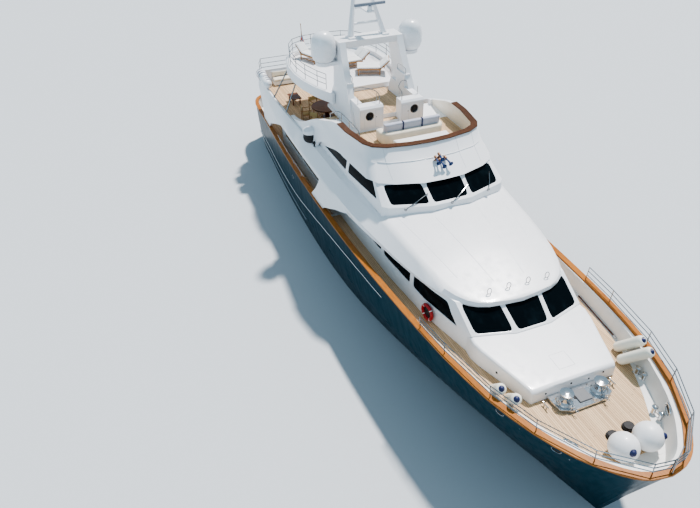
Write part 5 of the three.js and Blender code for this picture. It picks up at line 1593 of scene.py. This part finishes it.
    def bollard_pairs(self, yard: Yard) -> None:
        """Twin steel bollards on their pads."""
        for name, side in SIDES:
            shape = Shape()
            for x, y in self.bollards:
                foot = Vector((x, side * y, yard.floor(x, side * y, 3.9 if x > 0 else 3.0)))
                corners = [(-0.27, -0.1), (0.27, -0.1), (0.27, 0.1), (-0.27, 0.1)]
                shape.plate([(foot.x + a, foot.y + b) for a, b in corners], foot.z - 0.03, foot.z + 0.02)
                for step in (-0.14, 0.14):
                    shape.turned(self.post, (foot.x + step, foot.y, foot.z + 0.015), sides=20)
                bar = [(foot.x + step, foot.y, foot.z + 0.11) for step in (-0.24, 0.24)]
                shape.tube(bar, 0.016, 8)
            yard.fix(shape.piece(f"bollards_{name}"), Paint.BRIGHT_STEEL)

    def long_fenders(self, yard: Yard) -> None:
        """Cream fenders with navy ends and eyes, lying in pairs."""
        radius = self.fender_radius
        for name, side in SIDES:
            shape = Shape()
            for low, high in self.fender_ends:
                ends = [Vector((end[0], side * end[1], end[2])) for end in (low, high)]
                way = (ends[1] - ends[0]).normalized()
                length = (ends[1] - ends[0]).length
                body = []
                for k in range(9):
                    t = math.pi / 2 * k / 8
                    body.append((0.1 + (radius - 0.1) * math.sin(t), 0.05 + 0.13 * (1 - math.cos(t))))
                body += [(reach, length - height) for reach, height in reversed(body)]
                shape.turned(body, ends[0], way, 32)
                for base, outward in ((ends[0] + way * 0.095, -way), (ends[1] - way * 0.095, way)):
                    shape.turned(self.fender_cap, base, outward, 28, tag=1)
            line = [(12.8, side * 2.556, 3.75), (13.05, side * 2.42, 3.7), (13.3, side * 2.28, 3.73)]
            shape.tube(smooth_line(line, 4), 0.011, 8, tag=2)
            made = shape.piece(f"fenders_{name}", 50.0)
            finishes = [Paint.FENDER, Paint.NAVY_VINYL, Paint.ROPE]
            yard.fix(made, finishes, replaces=[f"long_fenders_{name}"])

    def ball_fenders(self, yard: Yard) -> None:
        """Big round fenders with navy caps and their eyes."""
        for number, (centre, aim) in enumerate(zip(self.balls, self.ball_caps), 1):
            shape = Shape().ball(centre, self.ball_radius, sides=48)
            way = Vector(aim).normalized()
            shape.turned(self.ball_cap, Vector(centre) + way * (self.ball_radius - 0.03), way, 32, tag=1)
            made = shape.piece(f"round_fender_{number}", 50.0)
            yard.fix(made, [Paint.BALL, Paint.NAVY_VINYL], replaces=[f"ball_fender_{number}"])

    def life_ring(self, yard: Yard) -> None:
        """A red covered lifebuoy with bands, on a dark board."""
        turn = math.radians(self.ring_turn)
        across = Vector((math.cos(turn), math.sin(turn), 0.0))
        out = Vector((across.y, -across.x, 0.0))
        up = Vector(UP)
        centre = Vector(self.ring_at)

        def rim(angles: Iterable[float]) -> list[Vector]:
            """Points of the ring's middle line at some angles."""
            return [centre + (across * math.cos(t) + up * math.sin(t)) * self.ring_radius for t in angles]

        shape = Shape().tube(rim(turns_of(48)), 0.062, 16, True)
        for quarter in range(4):
            start = math.pi / 4 + quarter * math.pi / 2
            shape.tube(rim(start + 0.05 * k for k in range(-1, 2)), 0.066, 16, tag=1)
        board = [(0.235, -0.05), (0.235, -0.02), (0.2, -0.012), (0.06, 0.0), (0.0, 0.0)]
        shape.turned(board, centre, out, 32, tag=2)
        made = shape.piece("lifebuoy", 50.0)
        yard.fix(made, [Paint.RED, Paint.WHITE_CLOTH, Paint.RUBBER], replaces=["life_ring"])

    def inner_fairleads(self, yard: Yard) -> None:
        """Bright oval rims around dark openings on the inner faces of the bow's bulwarks."""
        x, z = self.inner_fairlead
        for name, side in SIDES:
            shape = Shape()
            near = [(at, side * self.inner_side(yard, at, z, side), z) for at in (x - 0.2, x + 0.2)]
            before, after = (Vector(point) for point in near)
            centre = before.lerp(after, 0.5) - Vector((0.0, side * 0.012, 0.0))
            wide, high = self.fairlead_half
            forward, up = (after - before).normalized() * wide, Vector(UP) * high
            rim = [centre + forward * math.cos(t) + up * math.sin(t) for t in turns_of(24)]
            shape.tube(rim, 0.034, 10, True)
            # The black face inside each rim is painted shade: it stands for the opening through the bulwark.
            shape.add(rim, [tuple(range(len(rim)))], 1)
            yard.fix(shape.piece(f"inner_fairlead_{name}"), [Paint.BRIGHT_STEEL, Paint.RUBBER])

    def trunk_gear(self, yard: Yard) -> None:
        """The joint of a flush hatch in the trunk, its small dark fittings and the chain's mouth."""
        shape = Shape()
        corners = [yard.on_top("foredeck_trunk", x, y) for x, y in self.hatch_corners]
        path = [corners[k].lerp(corners[(k + 1) % 4], n / 4) for k in range(4) for n in range(4)]
        shape.tube(path, 0.006, 6, True)
        for y, z in self.trunk_fittings:
            shape.turned(self.fitting, yard.on_front("foredeck_trunk", y, z), (1, 0, 0), 16, tag=1)
        side = yard.on_side("foredeck_trunk", 12.1, 3.6, -1.0)
        shape.turned([(0.04, -0.01), (0.04, 0.012), (0.02, 0.02), (0.0, 0.02)], side, (0, -1, 0), 16, tag=1)
        # A flat black plate on the deck is painted shade: it stands for the dark mouth of the chain pipe.
        shape.box((13.5, -0.3, 3.47), (13.9, -0.14, 3.492), 1)
        yard.fix(shape.piece("trunk_gear"), [Paint.LOCKER, Paint.RUBBER])

    def hook(self, yard: Yard) -> None:
        """A long wooden boat hook that lies along the port side deck."""
        shape = Shape()
        path = [Vector((x, y, yard.floor(x, y, 3.6) + 0.024)) for x, y in self.boat_hook]
        shape.tube([path[0], path[-1]], 0.024, 12)
        shape.tube([path[-1], path[-1].lerp(path[0], -0.06)], 0.034, 12, tag=1)
        yard.fix(shape.piece("boat_hook"), [Paint.TABLE, Paint.BRIGHT_STEEL])

    def mats(self, yard: Yard) -> None:
        """Dark rubber mats under the round fenders."""
        shape = Shape()
        floor = yard.floor(14.9, 0.0, 3.6)
        for x, y in self.mats_at:
            for step, reach in ((0.0, 0.19), (0.045, 0.175), (0.09, 0.15)):
                outline = [(x + reach * math.cos(t), y + reach * 1.1 * math.sin(t)) for t in turns_of(24)]
                shape.plate(outline, floor - 0.004 + step, floor + 0.04 + step)
        yard.fix(softened(shape.piece("fender_mats"), 0.01, 2), Paint.RUBBER)


@dataclass(frozen=True)
class Seat:
    """A built-in seat: its solid, its low and high corners, its seat's height and its back's depth."""

    node: str
    low: Point
    high: Point
    seat: float
    back: float
    count: int


@dataclass
class Furniture:
    """Seats, loungers and the table."""

    seats: tuple[Seat, ...] = (
        Seat("upper_bench", (-13.75, -2.4, 4.602), (-12.95, 2.4, 5.36), 5.02, 0.25, 4),
        Seat("aft_settee", (-15.25, -1.15, 2.16), (-14.5, 1.15, 2.85), 2.56, 0.23, 2),
    )
    sofa_section: tuple[Pair, ...] = (
        (0.05, 6.62), (0.02, 6.68), (0.0, 6.85), (0.0, 7.05), (0.015, 7.1), (0.06, 7.135), (0.24, 7.14),
        (0.28, 7.12), (0.29, 7.08), (0.29, 6.7),
    )
    sofa_plinth: tuple[Pair, ...] = (
        (0.44, -1.15), (0.76, -1.15), (1.0, -0.95), (1.04, -0.8),
        (1.04, 1.3), (1.0, 1.45), (0.76, 1.65), (0.44, 1.65),
    )
    lounger_floor: float = 7.252
    lounger_back: float = 42.0
    chair_floor: float = 4.603
    chair_reach: float = 1.18
    loungers: tuple[tuple[float, float, float, float], ...] = (
        (-7.54, 0.68, -90.0, 0.62), (-5.95, 1.27, -112.0, 0.5), (-9.25, -1.15, 22.0, 0.33),
    )
    table_at: Pair = (-7.1, -1.0)
    chair_turns: tuple[float, ...] = (20.0, 80.0, 140.0, 195.0, 262.0, 310.0)
    sunpad: tuple[Pair, ...] = (
        (1.48, -1.0), (2.3, -0.9), (2.48, -0.5), (2.48, 1.15), (2.3, 1.6), (1.48, 1.7),
    )

    def build(self, yard: Yard) -> None:
        """Makes all of the furniture."""
        self.sofa(yard)
        self.sun_bed(yard)
        for seat in self.seats:
            self.bench(yard, seat)
        for number, place in enumerate(self.loungers, 1):
            self.lounger(yard, number, place)
        yard.recast("dining_table", Paint.TABLE, 0.012)
        self.chairs(yard)
        self.low_table(yard)
        self.ensign(yard)

    def padding(
        self,
        yard: Yard,
        shape: Shape,
        name: str,
        finish: Finish,
        loops: Sequence[Sequence[Point]] = (),
        floor: float | None = None,
        voxel: float = 0.022,
        limit: float = 0.022,
        channels: tuple[int, Sequence[float]] | None = None,
    ) -> Piece:
        """Makes stuffed cushions from plain shapes, with their piping.

        Args:
            yard: The yard.
            shape: The cushions before they are stuffed.
            name: The piece's name.
            finish: The cloth.
            loops: Where piping runs, as closed paths near the surface.
            floor: What the cushions lie on.
            voxel: The size of the mesh that is simulated.
            limit: How far a point may move.
            channels: The axis and places of sewn channels.

        Returns:
            The cushions.
        """
        piece = softened(shape.piece(name), 0.03, 3)
        stuffed(piece, voxel, limit, floor)
        if channels:
            sewn(piece, channels[0], channels[1], 0.035, 0.02)
        yard.fix(piece, finish)
        if loops:
            piping = piped(piece, loops, 0.007, f"{name}_piping")
            yard.fix(piping, finish)
        return piece

    def sofa(self, yard: Yard) -> None:
        """The curved sofa on the sundeck: a cream shell, with grey cushions that face aft."""
        corner = 0.42
        line = [Vector((0.415, -1.275, 0)), Vector((0.6, -1.275, 0))]
        line += arc((0.765, -0.855, 0), corner, -90, 0, (1, 0, 0), (0, 1, 0), 10)
        line += [Vector((1.185, y, 0)) for y in (-0.3, 0.25, 0.8)]
        line += arc((0.765, 1.355, 0), corner, 0, 90, (1, 0, 0), (0, 1, 0), 10)
        line += [Vector((0.6, 1.775, 0)), Vector((0.415, 1.775, 0))]
        rings = []
        for k, point in enumerate(line):
            before, after = line[max(k - 1, 0)], line[min(k + 1, len(line) - 1)]
            tangent = (after - before).normalized()
            x, y = -tangent.y, tangent.x
            section = self.sofa_section
            rings.append([(point.x + x * reach, point.y + y * reach, height) for reach, height in section])
        shape = Shape().rings(rings)
        shape.plate(self.sofa_plinth, 6.64, 6.83)
        shape.plate([(a * 0.97 + 0.03, b * 0.97) for a, b in self.sofa_plinth], 6.616, 6.66, tag=1)
        shell = shape.piece("sofa_shell", 40.0)
        yard.fix(shell, [Paint.CREAM_CLOTH, Paint.RUBBER], replaces=["sofa"])
        seats, loops = Shape(), []
        for k in range(3):
            y0 = -0.98 + 0.82 * k
            low, high = (0.44, y0 + 0.012, 6.835), (0.74, y0 + 0.808, 6.985)
            seats.box(low, high)
            loops += [box_loop(low, high, 6.86), box_loop(low, high, 6.965)]
        self.padding(yard, seats, "sofa_seats", Paint.GREY_CLOTH, loops, 6.832)
        backs = Shape()
        straps = Shape()
        for k in range(3):
            y0 = -1.13 + 0.925 * k
            back = Shape().box((0.74, y0 + 0.02, 6.99), (0.91, y0 + 0.905, 7.5))
            backs.joined(back.moved(about((0.85, 0, 7.2), 8)))
            if k:
                straps.box((0.8, y0 - 0.012, 7.1), (0.985, y0 + 0.018, 7.515))
        self.padding(yard, backs, "sofa_backs", Paint.GREY_CLOTH)
        yard.fix(softened(straps.piece("sofa_straps"), 0.006, 2), Paint.NAVY_VINYL)

    def sun_bed(self, yard: Yard) -> None:
        """The sunpad ahead of the sofa: a moulded base under one big channelled cushion."""
        base = Shape().plate([(x, y * 0.985) for x, y in self.sunpad], 6.62, 6.87)
        made = softened(base.piece("sunpad_base"), 0.03, 3)
        yard.fix(made, Paint.GELCOAT, replaces=["sunpad"])
        outline = [(1.5 if x < 2 else x - 0.02, y * 0.97) for x, y in self.sunpad]
        cushion = Shape().plate(outline, 6.874, 7.02)
        self.padding(
            yard,
            cushion,
            "sunpad_cushion",
            Paint.WHITE_CLOTH,
            floor=6.872,
            voxel=0.028,
            limit=0.02,
            channels=(1, (-0.1, 0.8)),
        )

    def bench(self, yard: Yard, seat: Seat) -> None:
        """A long bench: a panelled base, and a row of seat and back cushions."""
        (x0, y0, z0), (x1, y1, z1) = seat.low, seat.high
        base = Shape().box((x0, y0, z0 + 0.06), (x1 - 0.02, y1, seat.seat - 0.15))
        base.box((x0, y0 + 0.03, z0), (x1 - 0.1, y1 - 0.03, z0 + 0.08))
        base.box((x0, y0, seat.seat - 0.16), (x0 + 0.07, y1, z1 - 0.04))
        made = softened(base.piece(f"{seat.node}_base"), 0.015, 3)
        yard.fix(made, Paint.GELCOAT, replaces=[seat.node])
        seats, backs, loops = Shape(), Shape(), []
        span = (y1 - y0) / seat.count
        for k in range(seat.count):
            left, right = y0 + span * k + 0.02, y0 + span * (k + 1) - 0.02
            low, high = (x0 + 0.2, left, seat.seat - 0.145), (x1 - 0.03, right, seat.seat - 0.015)
            seats.box(low, high)
            loops += [box_loop(low, high, low[2] + 0.02), box_loop(low, high, high[2] - 0.02)]
            back = Shape().box((x0 + 0.1, left, seat.seat - 0.01), (x0 + seat.back - 0.01, right, z1 - 0.03))
            backs.joined(back.moved(about((x0 + 0.12, 0, seat.seat), -5)))
        cloth, slot = Paint.CREAM_CLOTH, Slot.CREAM_CLOTH
        self.padding(yard, seats, f"{seat.node}_seats", cloth, loops, seat.seat - 0.148, 0.026)
        self.padding(yard, backs, f"{seat.node}_backs", cloth, voxel=0.026)

    def lounger(self, yard: Yard, number: int, place: tuple[float, float, float, float]) -> None:
        """A teak lounger with slats and a thin mattress in two parts."""
        x, y, turn, half = place
        put = Matrix.Translation((x, y, self.lounger_floor)) @ Matrix.Rotation(math.radians(turn), 4, "Z")
        frame = Shape()
        lean = Matrix.Rotation(math.radians(self.lounger_back), 4, "Y")
        back = Matrix.Translation((-0.44, 0, 0.33)) @ lean
        for way in (-1.0, 1.0):
            edge = sorted((way * (half - 0.05), way * (half - 0.005)))
            frame.box((-0.45, edge[0], 0.27), (0.85, edge[1], 0.33))
            rail = [reach - way * 0.052 for reach in edge]
            frame.joined(Shape().box((-0.6, rail[0], -0.03), (0.0, rail[1], 0.02)).moved(back))
            for leg in (-0.38, 0.74):
                frame.box((leg - 0.03, edge[0], 0.0), (leg + 0.03, edge[1], 0.28))
            frame.box((-0.41, edge[0], 0.1), (0.77, edge[1], 0.13))
        for k in range(12):
            left = -0.43 + 0.105 * k
            frame.box((left, -half + 0.04, 0.3), (left + 0.075, half - 0.04, 0.322))
        for k in range(6):
            left = -0.59 + 0.1 * k
            slat = Shape().box((left, -half + 0.09, 0.0), (-0.52 + 0.1 * k, half - 0.09, 0.022))
            frame.joined(slat.moved(back))
        frame.tube([(-0.6, -half + 0.12, 0.32), (-0.6, half - 0.12, 0.32)], 0.02, 8)
        for way in (-1.0, 1.0):
            frame.tube([(-0.6, way * (half - 0.12), 0.32), (-0.68, way * (half - 0.12), 0.54)], 0.015, 8)
        wood = softened(frame.moved(put).piece(f"lounger_frame_{number}"), 0.005, 2)
        yard.fix(wood, Paint.OILED, replaces=[f"lounger_{number}"])
        pads = Shape()
        lanes = [(-half + 0.03, half - 0.03)] if half < 0.4 else [(-half + 0.03, -0.01), (0.01, half - 0.03)]
        for left, right in lanes:
            pads.box((-0.4, left, 0.33), (0.83, right, 0.405))
            pads.joined(Shape().box((-0.6, left, 0.03), (-0.03, right, 0.1)).moved(back))
        name, slot = f"lounger_pads_{number}", Slot.CREAM_CLOTH
        self.padding(yard, pads.moved(put), name, Paint.WHITE_CLOTH, voxel=0.02, limit=0.012)

    def chairs(self, yard: Yard) -> None:
        """Teak armchairs with ochre canvas, drawn up around the table."""
        for number, turn in enumerate(self.chair_turns, 1):
            angle = math.radians(turn)
            x = self.table_at[0] + self.chair_reach * math.cos(angle)
            y = self.table_at[1] + self.chair_reach * math.sin(angle)
            put = Matrix.Translation((x, y, self.chair_floor)) @ Matrix.Rotation(angle, 4, "Z")
            frame = Shape()
            for way in (-1.0, 1.0):
                edge = sorted((way * 0.25, way * 0.285))
                for leg in (-0.24, 0.22):
                    frame.box((leg - 0.018, edge[0], 0.0), (leg + 0.018, edge[1], 0.66 if leg < 0 else 0.88))
                frame.box((-0.27, edge[0] - 0.01, 0.64), (0.25, edge[1] + 0.01, 0.665))
                frame.box((-0.24, edge[0], 0.4), (0.22, edge[1], 0.44))
            frame.box((-0.25, -0.25, 0.4), (-0.22, 0.25, 0.435))
            wood = softened(frame.moved(put).piece(f"chair_frame_{number}"), 0.005, 2)
            yard.fix(wood, Paint.OILED)
            cloth = Shape().box((-0.24, -0.245, 0.43), (0.2, 0.245, 0.465))
            cloth.box((0.195, -0.25, 0.6), (0.225, 0.25, 0.86))
            name, slot = f"chair_cloth_{number}", Slot.CREAM_CLOTH
            self.padding(yard, cloth.moved(put), name, Paint.OCHRE_CLOTH, voxel=0.014, limit=0.008)

    def low_table(self, yard: Yard) -> None:
        """A low dark table on the upper deck."""
        shape = Shape().box((-10.5, -2.3, 4.96), (-9.5, -1.7, 5.0))
        for x in (-10.44, -9.62):
            for y in (-2.24, -1.82):
                shape.box((x, y, self.chair_floor), (x + 0.06, y + 0.06, 4.97))
        yard.fix(softened(shape.piece("low_table"), 0.006, 2), Paint.TABLE)

    def ensign(self, yard: Yard) -> None:
        """The ensign: a varnished staff, and a small cloth in three bands that hangs from it."""
        foot, head = Vector((-14.175, 0.0, 5.3)), Vector((-14.48, 0.0, 7.75))
        staff = Shape().tube([foot, foot.lerp(head, 0.5), head], 0.02, 12)
        staff.ball(head, 0.035, sides=16)
        yard.fix(staff.piece("ensign_staff"), Paint.OILED, replaces=["ensign"])
        width, drop = 0.85, 0.56
        along, down = 30, 20
        way = (foot - head).normalized()
        points, hoist = [], []
        for i in range(along + 1):
            for j in range(down + 1):
                reach, height = width * i / along, drop * j / down
                ripple = 0.03 * math.sin(reach * 9.0 + height * 3.0) * reach
                flown = Vector((ripple - reach * 0.3, -0.022 - reach * 0.8, -reach * 0.52))
                points.append(tuple(head + way * (0.4 + height) + flown))
                hoist.append(j / down)
        size = down + 1
        corners = [i * size + j for i in range(along) for j in range(down)]
        faces = [(corner, corner + 1, corner + size + 1, corner + size) for corner in corners]
        mesh = bpy.data.meshes.new("ensign_cloth")
        mesh.from_pydata(points, [], faces)
        cloth = bpy.data.objects.new("ensign_cloth", mesh)
        bpy.context.scene.collection.objects.link(cloth)
        pins = cloth.vertex_groups.new(name="hoist_edge")
        pins.add(list(range(size)), 1.0, "REPLACE")
        drape = cloth.modifiers.new("drape", "CLOTH")
        drape.settings.vertex_group_mass = "hoist_edge"
        drape.settings.quality = 8
        drape.settings.tension_stiffness = 40.0
        drape.settings.compression_stiffness = 40.0
        drape.settings.shear_stiffness = 20.0
        drape.settings.bending_stiffness = 0.3
        drape.settings.mass = 0.12
        for frame in range(1, DRAPE_STEPS + 1):
            bpy.context.scene.frame_set(frame)
        baked(cloth)
        bpy.context.scene.frame_set(1)
        band = cloth.data.attributes.new("hoist", "FLOAT", "POINT")
        band.data.foreach_set("value", hoist)
        cloth.data.shade_smooth()
        yard.fix(cloth, Paint.ENSIGN)


# The studio


@dataclass
class Studio:
    """The camera at the photograph's angle, the lights and the floor."""

    eye: Point = (23.116, -11.157, 18.512)
    yaw: float = 159.47
    pitch: float = 36.35
    roll: float = -1.48
    lens: float = 31.03
    sensor: float = 36.0
    clip: float = 500.0
    floor_half: float = 150.0
    sky: Color = (0.6, 0.82, 1.0)
    sky_strength: float = 0.55
    lamp_distance: float = 45.0

    def camera(self) -> None:
        """Sets up the camera."""
        yaw, pitch, roll = (math.radians(angle) for angle in (self.yaw, self.pitch, self.roll))
        look = Vector((math.cos(pitch) * math.cos(yaw), math.cos(pitch) * math.sin(yaw), -math.sin(pitch)))
        level_right = look.cross(Vector(UP)).normalized()
        level_up = level_right.cross(look)
        right = level_right * math.cos(roll) + level_up * math.sin(roll)
        up = level_up * math.cos(roll) - level_right * math.sin(roll)
        data = bpy.data.cameras.new("camera")
        data.lens = self.lens
        data.sensor_width = self.sensor
        data.clip_end = self.clip
        eye = bpy.data.objects.new("camera", data)
        turn = Matrix((right, up, -look)).transposed()
        eye.matrix_world = Matrix.Translation(self.eye) @ turn.to_4x4()
        bpy.context.scene.collection.objects.link(eye)
        bpy.context.scene.camera = eye

    def sun(self, name: str, energy: float, way: Point, color: Color, spread: float) -> None:
        """Adds a sun that shines along a direction.

        Args:
            name: The sun's name.
            energy: Its strength.
            way: The direction in which it shines.
            color: Its colour.
            spread: Its angle in degrees, which softens its shadows.
        """
        data = bpy.data.lights.new(name, "SUN")
        data.energy = energy
        data.color = color
        data.angle = math.radians(spread)
        lamp = bpy.data.objects.new(name, data)
        direction = Vector(way).normalized()
        turn = direction.to_track_quat("-Z", "Y").to_matrix().to_4x4()
        lamp.matrix_world = Matrix.Translation(direction * -self.lamp_distance) @ turn
        bpy.context.scene.collection.objects.link(lamp)

    def floor(self, yard: Yard) -> None:
        """Lays the pale floor at the waterline."""
        half = self.floor_half
        corners = [(-half, -half, 0.0), (half, -half, 0.0), (half, half, 0.0), (-half, half, 0.0)]
        piece = Shape().add(corners, [(0, 1, 2, 3)]).piece("studio_floor")
        paper = Paintwork("studio_paper", (0.56, 0.59, 0.61), (0.55, 0.58, 0.6), 0.75, 0.0, 0.2)
        piece.data.materials.append(yard.material(paper))

    def world(self) -> None:
        """Fills the room with even light."""
        world = bpy.data.worlds.new("studio")
        world.use_nodes = True
        back = next(node for node in world.node_tree.nodes if node.type == "BACKGROUND")
        back.inputs[0].default_value = (*self.sky, 1.0)
        back.inputs[1].default_value = self.sky_strength
        bpy.context.scene.world = world

    def build(self, yard: Yard) -> None:
        """Sets up the studio."""
        self.camera()
        self.sun("key", 5.4, (0.3, -0.42, -0.95), (1.0, 0.95, 0.93), 3.0)
        self.sun("fill", 0.4, (-0.7, 0.75, -0.45), (0.5, 0.78, 1.0), 40.0)
        self.world()
        bpy.context.scene.view_settings.look = "AgX - Medium High Contrast"
        self.floor(yard)


def main() -> None:
    """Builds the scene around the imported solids."""
    logging.basicConfig(level=logging.INFO, format="%(message)s")
    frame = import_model()
    yard = Yard(frame)
    Studio().build(yard)
    for assembly in (Hull(), Superstructure(), Arch(), Rails(), Foredeck(), Furniture()):
        assembly.build(yard)
        log.info("%s is done", type(assembly).__name__)


if __name__ == "__main__":
    main()
